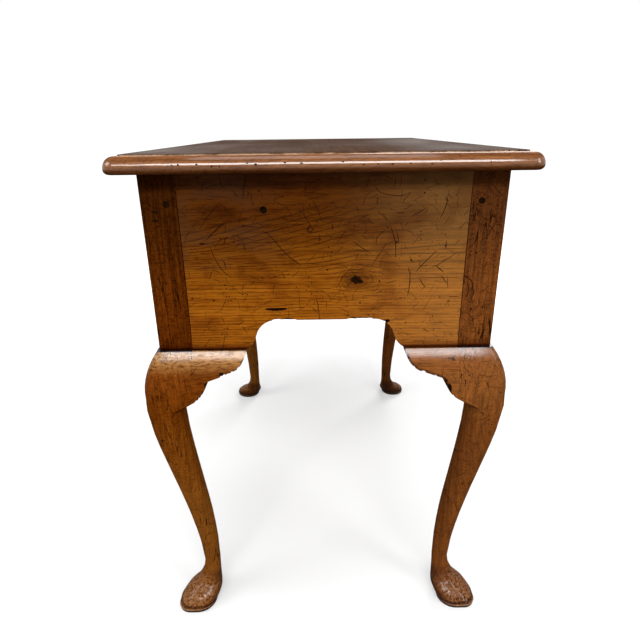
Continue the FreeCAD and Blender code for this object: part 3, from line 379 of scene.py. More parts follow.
def turned_away_shade(graph, place):
    """1 on what faces the floor, and less on what faces the arches between the legs, which get painted shade.
    """
    x, y, z = graph.split(place)
    to_x, to_y, to_z = facing(graph)
    down = graph.step(to_z, -0.15, -0.7)
    along = graph.step(graph.product(to_x, graph.math("SIGN", x), -1.0), 0.0, 0.8)
    across = graph.step(graph.product(to_y, graph.math("SIGN", y), -1.0), 0.0, 1.0)
    knee = graph.sum(0.2, graph.product(graph.step(z, 0.37, 0.41), 0.75))
    return graph.most(down, graph.product(across, knee), graph.product(along, 0.45))


def dark_rim(graph, y, z):
    """1 beside the edges of a back side return, below its top and clear of its joint with the leg."""
    near_edge = graph.step(graph.openness(5 * MM, inside=True), 0.85, 0.6)
    below_top = graph.step(z, LEDGE - MM, LEDGE - 5 * MM)
    back = graph.product(graph.step(y, 0.0, 0.1), graph.step(y, POST_IN - 6 * MM, POST_IN - 12 * MM))
    return graph.product(near_edge, below_top, back)


def knee_tones(graph, colour, place):
    """The curled figure of a knee, and painted shade on its sides that face the floor and the arches. It has
    a painted sheen towards the back and a painted highlight on the top of a front knee. Its topmost few
    millimetres are painted darker as shade, and the lower edge of a back side return is dark."""
    _, y, z = graph.split(place)
    knee = graph.math("LESS_THAN", z, LEDGE + MM)
    front = graph.step(y, 0.0, -0.05)
    curl = graph.noise(graph.vector("MULTIPLY", place, (90.0, 90.0, 420.0)), 2.0, 0.6)
    colour = graph.dim(colour, graph.step(curl, 0.5, 0.68), (0.72, 0.66, 0.6))
    # painted sheen: paler towards the back
    colour = graph.mix(graph.product(graph.step(y, 0.0, 0.17), 0.05), colour, (0.6, 0.36, 0.16))
    middle = graph.product(front, graph.step(z, 0.452, 0.43), graph.step(z, 0.33, 0.39))
    colour = graph.dim(colour, middle, (0.8, 0.7, 0.55))
    # painted highlight on the top of a front knee
    knee_top_highlight = graph.product(front, graph.step(z, 0.435, 0.461), graph.step(curl, 0.8, 0.3), knee)
    colour = graph.mix(graph.product(knee_top_highlight, 0.34), colour, (0.78, 0.46, 0.15))
    # painted shade: the top few millimetres of a knee are darker
    ledge = graph.product(graph.step(z, LEDGE - 5 * MM, LEDGE - 0.5 * MM), knee)
    colour = graph.dim(colour, ledge, (0.7, 0.7, 0.7))
    colour = graph.dim(colour, dark_rim(graph, y, z), (0.3, 0.24, 0.22))
    # painted shade on the sides that face the floor and the arches
    return graph.dim(colour, turned_away_shade(graph, place), DIRT_AND_SHADE)


def foot_tones(graph, colour, place):
    """A foot has painted light on its top, broken by scuffs, and painted shade on its sides and below.
    A pale rim runs round it above the floor as a painted highlight, with painted shade under it and
    a dark line above it."""
    z = graph.split(place)[Z]
    up = facing(graph)[Z]
    foot = graph.step(z, 55 * MM, 40 * MM)
    scuff = graph.noise(graph.scaled(place, 300.0), 3.0, 0.65)
    # painted light on the top of a foot, broken by scuffs
    top_light_and_scuffs = graph.product(foot, graph.step(up, 0.3, 0.9), graph.step(scuff, 0.4, 0.62), 0.2)
    colour = graph.mix(top_light_and_scuffs, colour, (0.5, 0.33, 0.19))
    colour = graph.dim(colour, graph.product(foot, graph.step(scuff, 0.52, 0.4)), (0.6, 0.54, 0.5))
    # painted shade on the sides and underside of a foot
    colour = graph.dim(colour, graph.product(foot, graph.step(up, 0.7, 0.1)), (0.5, 0.42, 0.36))
    # painted highlight: a pale rim, as a lit edge above the sole
    rim = graph.product(graph.step(z, 4.5 * MM, 5.5 * MM), graph.step(z, 9 * MM, 7.5 * MM), 0.2)
    colour = graph.mix(rim, colour, (0.5, 0.34, 0.2))
    # painted shade on the sole under the rim
    sole_shade = graph.step(z, 5 * MM, 4 * MM)
    above_rim = graph.product(graph.step(z, 8 * MM, 9 * MM), graph.step(z, 12.5 * MM, 11.5 * MM))
    return graph.dim(colour, graph.most(sole_shade, above_rim), (0.4, 0.33, 0.28))


def leg_tones(graph, colour, place):
    """The post is redder and darker than the knee below it, and darker still in front, partly as painted
    shade.
    It has painted shade under the overhang of the top and above the ledge, and its wax is crazed. The front
    shins are paler."""
    _, y, z = graph.split(place)
    colour = knee_tones(graph, colour, place)
    front, back = graph.step(y, 0.0, -0.1), graph.step(y, 0.0, 0.1)
    post = graph.step(z, LEDGE - MM, LEDGE)
    front_post = graph.product(post, front)
    overhang_shade = graph.step(z, 0.5, 0.68)
    colour = graph.mix(post, colour, shade_above_ledge(graph, colour, z))
    colour = graph.dim(colour, post, (0.76, 0.7, 0.7))
    # the front posts are darker, partly their own tone and partly painted shade
    colour = graph.dim(colour, front_post, (0.76, 0.66, 0.5))
    # painted shade under the overhang of the top, deeper on the front posts
    colour = graph.dim(colour, overhang_shade, (0.52, 0.52, 0.6))
    colour = graph.dim(colour, graph.product(front_post, overhang_shade), (0.7, 0.8, 1.0))
    back_shin = graph.product(graph.step(z, 0.42, 0.34), back)
    colour = graph.dim(colour, back_shin, (0.78, 0.72, 0.7))
    front_shin = graph.product(graph.step(z, 0.36, 0.14), front, 0.07)
    colour = graph.mix(front_shin, colour, (0.6, 0.3, 0.06))
    veins = graph.noise(graph.scaled(place, 70.0), 4.0, 0.7)
    craze = graph.step(graph.math("ABSOLUTE", graph.math("SUBTRACT", veins, 0.5)), 0.014, 0.004)
    colour = graph.dim(colour, graph.product(post, craze), DIRT_AND_SHADE)
    return foot_tones(graph, colour, place)


def leg_polish(graph, place):
    """Hands and cloths have kept the tops of the knees and of the feet glossy."""
    z = graph.split(place)[Z]
    knee = graph.math("LESS_THAN", z, LEDGE + MM)
    high, highest = graph.step(z, 0.4, 0.45), graph.step(z, 0.445, 0.464)
    knee_top = graph.sum(graph.product(high, 0.1), graph.product(highest, 0.6))
    kept = graph.step(graph.noise(graph.scaled(place, 60.0), 4.0, 0.65), 0.2, 0.55)
    rubbed = graph.step(graph.noise(graph.scaled(place, 330.0), 2.0, 0.6), 0.42, 0.6)
    foot = graph.product(graph.step(z, 60 * MM, 30 * MM), rubbed, 0.4)
    shine = graph.most(graph.product(knee_top, knee), foot)
    open_to_hands = graph.math("SUBTRACT", 1.0, turned_away_shade(graph, place))
    return graph.product(shine, graph.sum(0.4, graph.product(kept, 0.6)), open_to_hands)


def on_flat(graph, z):
    """1 on the flat of the top and 0 on its moulded edge."""
    return graph.step(z, SHOULDER + 0.8 * MM, SURFACE - 0.2 * MM)


def top_tones(graph, colour, place):
    """The flat of the top is dark under old wax. Its edge is paler, with a painted highlight along the arris
    of the moulding, and has painted shade in the hollow under the nose."""
    z = graph.split(place)[Z]
    above_nose = graph.step(z, 0.71, 0.714)
    edge = graph.dim(colour, above_nose, (0.68, 0.6, 0.48))
    patchy = graph.step(graph.noise(graph.scaled(place, 45.0), 3.0, 0.6), 0.35, 0.6)
    # painted highlight along the arris of the moulding
    arris = graph.step(z, SHOULDER - 0.5 * MM, SHOULDER)
    arris = graph.product(arris, graph.sum(0.1, graph.product(patchy, 0.45)))
    edge = graph.mix(arris, edge, (0.62, 0.45, 0.3))
    film = graph.noise(graph.vector("MULTIPLY", place, (3.0, 14.0, 1.0)), 4.0, 0.6)
    film = graph.product(graph.step(film, 0.3, 0.75), 0.4)
    flat = graph.mix(film, graph.dim(colour, 1.0, (0.24, 0.25, 0.34)), (0.034, 0.022, 0.014))
    colour = graph.mix(on_flat(graph, z), edge, flat)
    # painted shade in the hollow under the nose
    hollow = graph.step(z, 0.709, 0.7005)
    return graph.dim(colour, hollow, (0.33, 0.27, 0.25))


def top_polish(graph, place):
    """Wax on the top: thick on the moulded edge, thin and streaky on the flat, most of it near the edges."""
    _, y, z = graph.split(place)
    streaks = graph.step(graph.noise(graph.vector("MULTIPLY", place, (3.0, 9.0, 1.0)), 3.0, 0.55), 0.3, 0.8)
    handled = graph.most(graph.step(y, 0.03, 0.2), graph.step(y, -0.08, -0.22), 0.25)
    flat = graph.sum(0.04, graph.product(streaks, handled, 0.24))
    nose = graph.step(z, 0.714, 0.711)
    moulding = graph.product(graph.step(z, 0.702, 0.706), graph.sum(0.25, graph.product(nose, 0.65)))
    inner = on_flat(graph, z)
    return graph.sum(graph.product(flat, inner), graph.product(moulding, graph.math("SUBTRACT", 1.0, inner)))


def case_tones(graph, colour, place):
    """Darker higher up, fully so from 0.67 m."""
    return graph.dim(colour, graph.step(graph.split(place)[Z], 0.6, 0.67), (0.65, 0.62, 0.6))


# ------------ metal, dirt and the finished materials


def metal(name, bright, dull, rough):
    """Old metal: dull in the hollows, rubbed bright on what stands out."""
    graph = Graph(name)
    place = graph.place()
    tarnish = graph.noise(graph.scaled(place, 70.0), 4.0, 0.65)
    fine = graph.noise(graph.scaled(place, 560.0), 3.0, 0.6)
    hollow = graph.step(graph.openness(4 * MM), 0.95, 0.4)
    dull_here = graph.most(graph.product(graph.step(tarnish, 0.35, 0.7), graph.sum(0.45, fine)), hollow)
    graph.put(graph.shader.inputs["Base Color"], graph.mix(dull_here, bright, dull))
    dullness = graph.sum(rough, graph.product(graph.most(fine, dull_here), 0.25))
    graph.put(graph.shader.inputs["Roughness"], dullness)
    graph.shader.inputs["Metallic"].default_value = 1.0
    graph.bump(graph.sum(fine, tarnish), 0.15 * MM)
    return graph.material


def filth(name):
    """Black wax and dirt in the bottom of scratches, holes and chips."""
    graph = Graph(name)
    grain = graph.noise(graph.scaled(graph.place(), 700.0), 3.0, 0.6)
    colour = graph.mix(graph.step(grain, 0.3, 0.7), (0.004, 0.0015, 0.0006), (0.018, 0.007, 0.002))
    graph.put(graph.shader.inputs["Base Color"], colour)
    graph.put(graph.shader.inputs["Roughness"], graph.sum(0.6, graph.product(grain, 0.3)))
    graph.shader.inputs["Specular IOR Level"].default_value = 0.0
    graph.bump(grain, 0.2 * MM)
    return graph.material


# Tones of the oak: of the side panels, legs, top, front, inner pieces and pegs.
GOLD = {"light": (0.29, 0.092, 0.005), "middle": (0.2, 0.056, 0.0025), "dark": (0.03, 0.007, 0.001)}
BROWN = {"light": (0.22, 0.062, 0.006), "middle": (0.13, 0.035, 0.003), "dark": (0.03, 0.007, 0.001)}
EDGE = {"light": (0.21, 0.083, 0.024), "middle": (0.14, 0.05, 0.013), "dark": (0.05, 0.017, 0.005)}
FRONT = {"light": (0.29, 0.09, 0.008), "middle": (0.18, 0.049, 0.004), "dark": (0.035, 0.009, 0.0015)}
DRY = {"light": (0.32, 0.2, 0.105), "middle": (0.24, 0.14, 0.068), "dark": (0.14, 0.075, 0.035)}
PEG = {"light": (0.016, 0.006, 0.002), "middle": (0.008, 0.003, 0.001), "dark": (0.004, 0.0015, 0.0005)}
# What the two materials of the knee returns share, and the two of the inner pieces.
RETURN = {"pith": (0.2, 0.3), "line": 0.4, "marks": 0.6, "pits": 0.9, "checks": 0.3, "tones": knee_tones,
          "polish": leg_polish}
INNER = {"line": 0.5, "marks": 0.1, "pits": 0.2, "wax": 0.0, "rough": 0.65}

panel_oak = oak("panel_oak", Y, **GOLD, rings=panel_rings, line=0.95, marks=0.75, pits=0.9,
                tones=panel_tones, fade=panel_fade, wax=0.03)
leg_oak = oak("leg_oak", Z, **BROWN, pith=(0.2, 0.1), line=0.5, marks=0.8, pits=1.0, checks=0.9,
              tones=leg_tones, polish=leg_polish)
return_oak = oak("return_oak", Y, **BROWN, **RETURN)
face_return_oak = oak("face_return_oak", X, **BROWN, **RETURN)
top_oak = oak("top_oak", X, **EDGE, pith=(0.1, 0.5), line=0.5, marks=0.2, pits=0.3, cleats=0.386,
              tones=top_tones, polish=top_polish, wax_rough=0.1)
front_oak = oak("front_oak", X, **FRONT, width=0.0045, pith=(-0.17, 0.47), line=0.85, marks=0.6, pits=0.7,
                tones=case_tones, wax=0.06)
upright_oak = oak("upright_oak", Z, **FRONT, tones=case_tones, wax=0.06)
inner_oak_x = oak("inner_oak_x", X, **DRY, **INNER)
inner_oak_y = oak("inner_oak_y", Y, **DRY, **INNER)
peg_oak = oak("peg_oak", X, **PEG, width=0.002, line=0.8, marks=0.2, pits=0.2, wax=0.0, rough=0.6)
brass = metal("brass", (0.47, 0.29, 0.09), (0.1, 0.055, 0.018), 0.3)
steel = metal("screw_steel", (0.3, 0.28, 0.26), (0.09, 0.05, 0.03), 0.45)
dirt = filth("dirt")


# ------------ worn pieces

PROUD = -0.3 * MM  # shapes that cut begin this far out of the face
SHARP_FROM = math.radians(35)  # edges sharper than this stay sharp in the shading
SOFTENED_FROM = math.radians(40)  # and those sharper than this are softened in the mesh
SOFT_BOARD = 0.5 * MM  # how wide that is on the panels and the top
SOFT_RETURN = 0.8 * MM  # and on the knee returns
PEG_RECESS = 0.9 * MM


def link(name, data):
    thing = bpy.data.objects.new(name, data)
    bpy.context.scene.collection.objects.link(thing)
    return thing


def welded(name):
    """A node's surface, with its faces joined at their edges."""
    shape = bmesh.new()
    shape.from_mesh(nodes[name].data)
    bmesh.ops.remove_doubles(shape, verts=shape.verts, dist=1e-6)
    return shape


def closed_mesh(name):
    """A node's surface as one closed mesh."""
    shape = welded(name)
    shape.verts.index_update()
    mesh = bpy.data.meshes.new(name + "_worn")
    faces = [[vert.index for vert in face.verts] for face in shape.faces]
    mesh.from_pydata([vert.co.copy() for vert in shape.verts], [], faces)
    shape.free()
    return mesh


def on_end(side):
    """Places on an outer face of the right (side 1) or left end: y, z and a depth below the face."""
    return lambda y, z, depth: Vector((side * (CASE_END - depth), y, z))


def through(points):
    """A smooth line through a few points, with five places on the way from each to the next."""
    padded = [points[0], *points, points[-1]]
    line = []
    for a, b, c, d in zip(padded, padded[1:], padded[2:], padded[3:]):
        for t in (0.0, 0.2, 0.4, 0.6, 0.8):
            line.append(tuple(
                0.5 * (2 * q + (r - p) * t + (2 * p - 5 * q + 4 * r - s) * t**2
                       + (3 * q - p - 3 * r + s) * t**3)
                for p, q, r, s in zip(a, b, c, d)
            ))
    return [*line, points[-1]]


class Damage:
    """Everything that time has cut out of one piece, gathered as closed shapes."""

    def __init__(self):
        self.points = []
        self.faces = []
        self.bare = []

    def add(self, points, faces, bare=False):
        """Takes one more closed shape. What it lays open is dirty, or bare wood."""
        start = len(self.points)
        self.points.extend(points)
        self.faces.extend(tuple(start + index for index in face) for face in faces)
        self.bare.extend([bare] * len(faces))

    def groove(self, line, lay, wide, deep):
        """A V-shaped scratch along a line on a face that runs out thin at both ends."""
        points = []
        last = len(line) - 1
        for number, (a, b) in enumerate(line):
            before, after = line[max(number - 1, 0)], line[min(number + 1, last)]
            way = Vector((after[0] - before[0], after[1] - before[1])).normalized()
            thick = 0.25 + 0.75 * math.sin(math.pi * number / last) ** 0.5
            right, up = -way.y * wide * thick / 2, way.x * wide * thick / 2
            points.append(lay(a + right, b + up, PROUD))
            points.append(lay(a - right, b - up, PROUD))
            points.append(lay(a, b, deep * thick))
        faces = [(0, 1, 2), (3 * last, 3 * last + 2, 3 * last + 1)]
        for number in range(last):
            for one, two in ((0, 1), (1, 2), (2, 0)):
                low, high = 3 * number, 3 * (number + 1)
                faces.append((low + one, high + one, high + two, low + two))
        self.add(points, faces)

    def bite(self, centre, radii, chance, rough, bare=False):
        """A knocked-out lump with an uneven surface."""
        ball = bmesh.new()
        bmesh.ops.create_icosphere(ball, subdivisions=2, radius=1.0)
        ball.verts.index_update()
        points = []
        for vert in ball.verts:
            swell = 1 + chance.uniform(-rough, rough)
            points.append(Vector(centre) + Vector([r * c * swell for r, c in zip(radii, vert.co)]))
        self.add(points, [[vert.index for vert in face.verts] for face in ball.faces], bare)
        ball.free()

    def bore(self, lay, a, b, radius, deep, sides):
        """A round hole square to a face, narrower at its bottom."""
        turns = [2 * math.pi * number / sides for number in range(sides)]
        points = [lay(a + radius * math.cos(t), b + radius * math.sin(t), PROUD) for t in turns]
        points += [lay(a + 0.7 * radius * math.cos(t), b + 0.7 * radius * math.sin(t), deep) for t in turns]
        faces = [tuple(range(sides)), tuple(range(2 * sides - 1, sides - 1, -1))]
        for number in range(sides):
            after = (number + 1) % sides
            faces.append((number, sides + number, sides + after, after))
        self.add(points, faces)


def applied(piece, modifier):
    """The mesh that a modifier makes of a piece. It comes off the piece again."""
    seen = piece.evaluated_get(bpy.context.evaluated_depsgraph_get())
    mesh = bpy.data.meshes.new_from_object(seen)
    piece.modifiers.remove(modifier)
    return mesh


def take_if_sound(piece, mesh):
    """Gives a piece its new mesh if that is closed and has lost only a little."""
    sizes = []
    for each in (mesh, piece.data):
        shape = bmesh.new()
        shape.from_mesh(each)
        closed = all(edge.is_manifold for edge in shape.edges)
        sizes.append(shape.calc_volume())
        shape.free()
        if not closed:
            return
    if 0.97 < sizes[0] / sizes[1] <= 1.0001:
        piece.data = mesh


def soften(piece, width):
    """Rounds the sharp edges of a piece."""
    rounding = piece.modifiers.new("softened", "BEVEL")
    rounding.width = width
    rounding.segments = 2
    rounding.limit_method = "ANGLE"
    rounding.angle_limit = SOFTENED_FROM
    rounding.use_clamp_overlap = True
    take_if_sound(piece, applied(piece, rounding))


def carve(piece, wood, damage):
    """Cuts its damage out of a piece."""
    blades = bpy.data.meshes.new("blades")
    blades.from_pydata(damage.points, [], damage.faces)
    blades.materials.append(dirt)
    blades.materials.append(wood)
    for face, bare in zip(blades.polygons, damage.bare):
        face.material_index = int(bare)
    shape = bmesh.new()
    shape.from_mesh(blades)
    bmesh.ops.recalc_face_normals(shape, faces=shape.faces)
    shape.to_mesh(blades)
    shape.free()
    tool = link("blades", blades)
    cutting = piece.modifiers.new("damage", "BOOLEAN")
    cutting.operation = "DIFFERENCE"
    cutting.solver = "EXACT"
    cutting.use_self = True
    cutting.material_mode = "TRANSFER"
    cutting.object = tool
    cut = applied(piece, cutting)
    bpy.data.objects.remove(tool)
    take_if_sound(piece, cut)


def worn(name, body, wood, damage, soft=0.0):
    """A copy of a CAD node with its sharp edges softened and its damage cut out. It stands for the node."""
    mesh = closed_mesh(name)
    mesh.materials.append(wood)
    piece = link(name + "_worn", mesh)
    if soft:
        soften(piece, soft)
    if damage.points:
        carve(piece, wood, damage)
    piece.data.shade_smooth()
    piece.data.set_sharp_from_angle(angle=SHARP_FROM)
    if soft:
        flats = piece.modifiers.new("flats", "WEIGHTED_NORMAL")  # keeps the flat faces flat beside soft edges
        flats.keep_sharp = True
        piece.data = applied(piece, flats)
    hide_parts(name)
    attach(piece, body)
    return piece


# ------------ what time has done to them

# Scratches of the right end, in millimetres along Y and up from the floor: width, depth and points.
# Those that begin past POST_IN are on a post, and the others on the panel.
END_SCRATCHES = [
    (1.3, 0.7, (-144, 609), (-140, 595), (-130, 576), (-119, 567)),
    (1.4, 0.7, (-77, 627), (-68, 621), (-49, 598), (-29, 581)),
    (1.2, 0.6, (-33, 656), (-23, 643), (-14, 628)),
    (1.3, 0.6, (-102, 615), (-101, 606), (-99, 601)),
    (1.3, 0.6, (61, 681), (69, 672), (92, 668), (106, 672)),
    (1.4, 0.7, (151, 670), (149, 654), (143, 639)),
    (1.1, 0.6, (151, 670), (157, 663)),
    (1.3, 0.6, (34, 614), (46, 605), (60, 596)),
    (1.4, 0.7, (81, 634), (89, 611), (90, 590)),
    (1.4, 0.7, (143, 600), (129, 586), (116, 571)),
    (1.6, 0.9, (142, 580), (153, 571)),
    (1.5, 0.8, (123, 563), (126, 557), (131, 551)),
    (1.4, 0.8, (150, 567), (159, 555)),
    (1.0, 0.5, (-128, 663), (-145, 644), (-156, 629)),
    (1.1, 0.5, (-139, 625), (-125, 636), (-114, 642)),
    (1.0, 0.5, (106, 672), (96, 662)),
    (1.2, 0.6, (126, 654), (117, 648), (106, 642)),
    (1.0, 0.5, (64, 651), (81, 637)),
    (1.1, 0.5, (90, 625), (94, 609)),
    (1.1, 0.5, (76, 627), (66, 617), (65, 607)),
    (1.0, 0.5, (179, 638), (166, 625)),
    (1.0, 0.5, (37, 581), (23, 566), (17, 554)),
    (1.0, 0.5, (79, 557), (95, 562)),
    (0.9, 0.4, (-141, 670), (-127, 669), (-114, 667)),
    (0.9, 0.4, (-163, 656), (-154, 653), (-146, 648)),
    (0.8, 0.4, (-21, 690), (-23, 678), (-24, 666)),
    (0.9, 0.4, (-24, 674), (-8, 672), (6, 670)),
    (0.8, 0.4, (-7, 672), (-8, 661)),
    (0.8, 0.4, (-98, 656), (-103, 647), (-107, 634)),
    (0.8, 0.4, (-128, 663), (-115, 647)),
    (0.8, 0.4, (-171, 648), (-167, 657)),
    (1.0, 0.4, (-82, 530), (-70, 537)),
    (0.9, 0.5, (143, 601), (160, 601.5), (176, 601)),
    (1.0, 0.5, (116, 565), (145, 564), (176, 563)),
    (1.1, 0.6, (162, 538), (176, 537.5)),
    (0.9, 0.5, (2, 534), (2, 525)),
    (1.3, 0.6, (204, 681), (209, 674), (217, 668)),
    (1.2, 0.6, (188, 516), (198, 505)),
    (0.9, 0.5, (196, 512), (199, 498), (203, 486)),
    (0.9, 0.5, (186, 500), (201, 507), (210, 514)),
    (1.0, 0.5, (190, 644), (205, 636)),
    (1.0, 0.5, (203, 634), (213, 622)),
    (1.1, 0.5, (200, 541), (208, 546), (214, 553)),
    (0.9, 0.4, (189, 545), (194, 530), (197, 521)),
]
# A round hole in the panel there: middle, radius and depth.
PANEL_HOLE = (-75, 653, 4.6, 4)
# A deep slot there: width, depth and points.
PANEL_SLOT = (4.4, 4, (-79, 524), (-71, 523.6), (-64, 523.4), (-57, 523.7), (-50, 524.2))
# Lumps that are knocked out there: middle along Y and up, half sizes along X, Y and Z, and roughness.
# Two are at the knot, two on the front post, and the last six along the arch.
END_LUMPS = [
    (39, 562.5, (1.6, 5, 2.2), 0.4),
    (46, 560, (1.4, 3.4, 2.6), 0.4),
    (-154, 612, (1.2, 3.2, 1.3), 0.3),
    (-207.5, 651.5, (1.2, 4.5, 1.8), 0.3),
    (-208.5, 641.5, (1.2, 4.5, 1.8), 0.3),
    (-64, 508, (4, 8, 2.8), 0.25),
    (-50, 508, (4, 11, 2.8), 0.25),
    (36, 508.4, (4, 6, 2.8), 0.25),
    (48, 508.4, (4, 9, 2.8), 0.25),
    (59, 508, (4, 5, 2.8), 0.25),
    (82, 505, (4, 4, 2.8), 0.25),
]
# Clusters of worm holes there: middle, spread and number. The left end has every other one.
WORM = [
    (-20, 554, 12, 9), (-20, 535, 9, 7), (-62, 567, 14, 10), (-121, 538, 14, 9), (-117, 555, 9, 5),
    (65, 520, 20, 5), (-150, 500, 18, 6), (150, 500, 16, 6), (-190, 560, 9, 6), (-195, 520, 9, 6),
    (195, 590, 12, 5), (200, 500, 12, 8),
]
# Nicks along the nose and the upper arris of the top, along Y at the right end.
NOSE_NICKS = [-173, -166, -145, -128, -119, -88, -78, -45, -26, 21, 44, 61, 77, 98, 122, 132, 189]
ARRIS_NICKS = [-62, 168, 214, 226, 233, 239, 244, 248]
NOSE_HEIGHT = 708.5  # of the nicks in the nose there, in millimetres
DENT_HEIGHTS = (703, 707)  # and of the dents in the other edges, from and to
LONG_DENTS, END_DENTS = 46, 10  # how many along the front and the back together, and at the left end
TOP_ROUGH = 0.3  # how uneven the nicks and dents of the top are
# How many chips are out of the lower edge of a side return, in front (-1) and behind (1), and their half
# sizes in millimetres, from and to.
CHIPS = {-1: 26, 1: 10}
CHIP_SIZES = ((3.0, 9.0), (1.6, 3.4), (1.3, 2.6))
# One lump more has gone from those of the right end: middle in metres, half sizes in millimetres, and
# roughness.
RETURN_LUMPS = {
    -1: ((0.3835, -0.1395, 0.4375), (4, 3.8, 3.4), 0.3),
    1: ((0.3895, 0.1665, 0.415), (3.5, 4, 7), 0.15),
}


def scaled_line(points):
    return [(a * MM, b * MM) for a, b in through(points)]


def end_damage(side, chance):
    """Damage of a side panel and of its two posts, with the dark joints between them. The photograph
    shows the right end; the left one has only worm holes of its own."""
    lay = on_end(side)
    in_photo = side > 0
    board, posts = Damage(), {-1: Damage(), 1: Damage()}

    def piece_at(y):
        return board if abs(y) < POST_IN else posts[1 if y > 0 else -1]

    for edge in (-POST_IN, POST_IN):
        joint = [(edge, LEDGE - 2 * MM + number * 26 * MM) for number in range(10)]
        board.groove(joint, lay, 2.4 * MM, 0.9 * MM)
    if in_photo:
        for wide, deep, *points in END_SCRATCHES:
            line = scaled_line(points)
            piece_at(line[0][0]).groove(line, lay, wide * MM, deep * MM)
        y, z, radius, deep = (measure * MM for measure in PANEL_HOLE)
        board.bore(lay, y, z, radius, deep, 16)
        wide, deep, *points = PANEL_SLOT
        board.groove(scaled_line(points), lay, wide * MM, deep * MM)
        for y, z, radii, rough in END_LUMPS:
            size = [radius * MM for radius in radii]
            piece_at(y * MM).bite(lay(y * MM, z * MM, 0), size, chance, rough)
    for y, z, spread, number in WORM if in_photo else WORM[::2]:
        for _ in range(number):
            a, b = chance.gauss(y, spread / 2) * MM, chance.gauss(z, spread / 2) * MM
            radius = chance.uniform(0.55, 0.95) * MM
            in_board = abs(a) < POST_IN - 2 * MM and (b > ARCH_TOP or abs(a) > ARCH_END)
            in_post = POST_IN + 2 * MM < abs(a) < CASE_FRONT - 3 * MM and b > LEDGE + 4 * MM
            if in_board or in_post:
                piece_at(a).bore(lay, a, b, radius, 2 * MM, 6)
    return board, posts


def top_damage(chance):
    """Nicks in the nose and the arris of the top at the right end, dents in both along the front and the
    back, and more in the nose at the left end."""
    made = Damage()
    for y in NOSE_NICKS:
        place = (TOP_END - 0.7 * MM, y * MM, (NOSE_HEIGHT + chance.uniform(-2, 2)) * MM)
        size = (1.1 * MM, chance.uniform(1.0, 2.0) * MM, chance.uniform(0.6, 1.2) * MM)
        made.bite(place, size, chance, TOP_ROUGH)
    for y in ARRIS_NICKS:
        place = (TOP_END - STEP_IN, y * MM, SURFACE)
        made.bite(place, (1.6 * MM, chance.uniform(1.5, 3.5) * MM, 1.1 * MM), chance, TOP_ROUGH)
    for number in range(LONG_DENTS):
        along = chance.uniform(-0.36, 0.36)
        side = chance.choice((-1, 1))
        size = (chance.uniform(1.2, 3.0) * MM, 0.9 * MM, chance.uniform(0.7, 1.3) * MM)
        place = (along, side * (TOP_FRONT - STEP_IN), SURFACE)
        if number % 2:
            place = (along, side * (TOP_FRONT - 0.3 * MM), chance.uniform(*DENT_HEIGHTS) * MM)
        made.bite(place, size, chance, TOP_ROUGH)
    for _ in range(END_DENTS):
        place = (-TOP_END + 0.4 * MM, chance.uniform(-0.22, 0.22), chance.uniform(*DENT_HEIGHTS) * MM)
        made.bite(place, (0.9 * MM, chance.uniform(1.2, 2.5) * MM, 1 * MM), chance, TOP_ROUGH)
    return made


def lower_arris(name):
    """Points along the sharp outer edge of a side return, below its top."""
    shape = welded(name)
    found = []
    for edge in shape.edges:
        middle = (edge.verts[0].co + edge.verts[1].co) / 2
        outer = abs(middle.x) > CASE_END + 6 * MM and abs(middle.y) < POST_IN - 3 * MM
        sharp = edge.calc_face_angle(0.0) > 0.7
        if outer and middle.z < LEDGE - 8 * MM and sharp:
            found.append(middle.copy())
    shape.free()
    return sorted(found, key=lambda point: (point.z, point.y))


def return_damage(side, behind, arris, chance):
    """The rough, chipped lower edge of a side return. One chip in three is dirty, the others are bare."""
    made = Damage()
    for number in range(CHIPS[behind]):
        size = [chance.uniform(low, high) * MM for low, high in CHIP_SIZES]
        made.bite(chance.choice(arris), size, chance, 0.35, bare=number % 3 > 0)
    if side > 0:
        middle, radii, rough = RETURN_LUMPS[behind]
        made.bite(middle, [radius * MM for radius in radii], chance, rough)
    return made


def recessed_pegs():
    """The pegs, shrunk a little below the faces of the posts."""
    piece = worn("joint_pegs", "case", peg_oak, Damage())
    for vert in piece.data.vertices:
        if abs(vert.co.x) > CASE_END - MM:
            vert.co.x -= math.copysign(PEG_RECESS, vert.co.x)
        if abs(vert.co.y) > CASE_FRONT - MM:
            vert.co.y -= math.copysign(PEG_RECESS, vert.co.y)


def make_worn_pieces():
    chance = random.Random(11)
    for side, end in ((1, "right"), (-1, "left")):
        board, posts = end_damage(side, chance)
        worn("side_panel_" + end, "case", panel_oak, board, SOFT_BOARD)
        for behind, name in ((-1, "front"), (1, "back")):
            worn(f"leg_{name}_{end}", "case", leg_oak, posts[behind])
            piece = f"knee_return_{name}_{end}_side"
            chips = return_damage(side, behind, lower_arris(piece), chance)
            worn(piece, "case", return_oak, chips, SOFT_RETURN)
        piece = f"knee_return_front_{end}_face"
        worn(piece, "case", face_return_oak, Damage(), SOFT_RETURN)
    worn("top", "case", top_oak, top_damage(chance), SOFT_BOARD)
    recessed_pegs()


def finish_of(name):
    """The material of a CAD node that is shown as it is."""
    if "handle" in name:
        return brass
    if name == "top_screws":
        return steel
    if name.startswith("divider"):
        return upright_oak
    if name.endswith("_front") or name in ("front_apron", "top_rail"):
        return front_oak
    if name.endswith(("side_left", "side_right")) or name.startswith(("runner", "kicker", "partition")):
        return inner_oak_y
    return inner_oak_x


make_worn_pieces()
for name, node in nodes.items():
    for slot in node.material_slots:
        slot.material = finish_of(name)


# ------------ floor, light and camera

WHITE = (1.0, 1.0, 1.0)
WORLD_LIGHT = 0.12  # what the world lights the part with; it is seen as white
FLOOR_HALF = 30.0
CASE_MIDDLE = (0.0, 0.0, 0.45)  # what every lamp points at
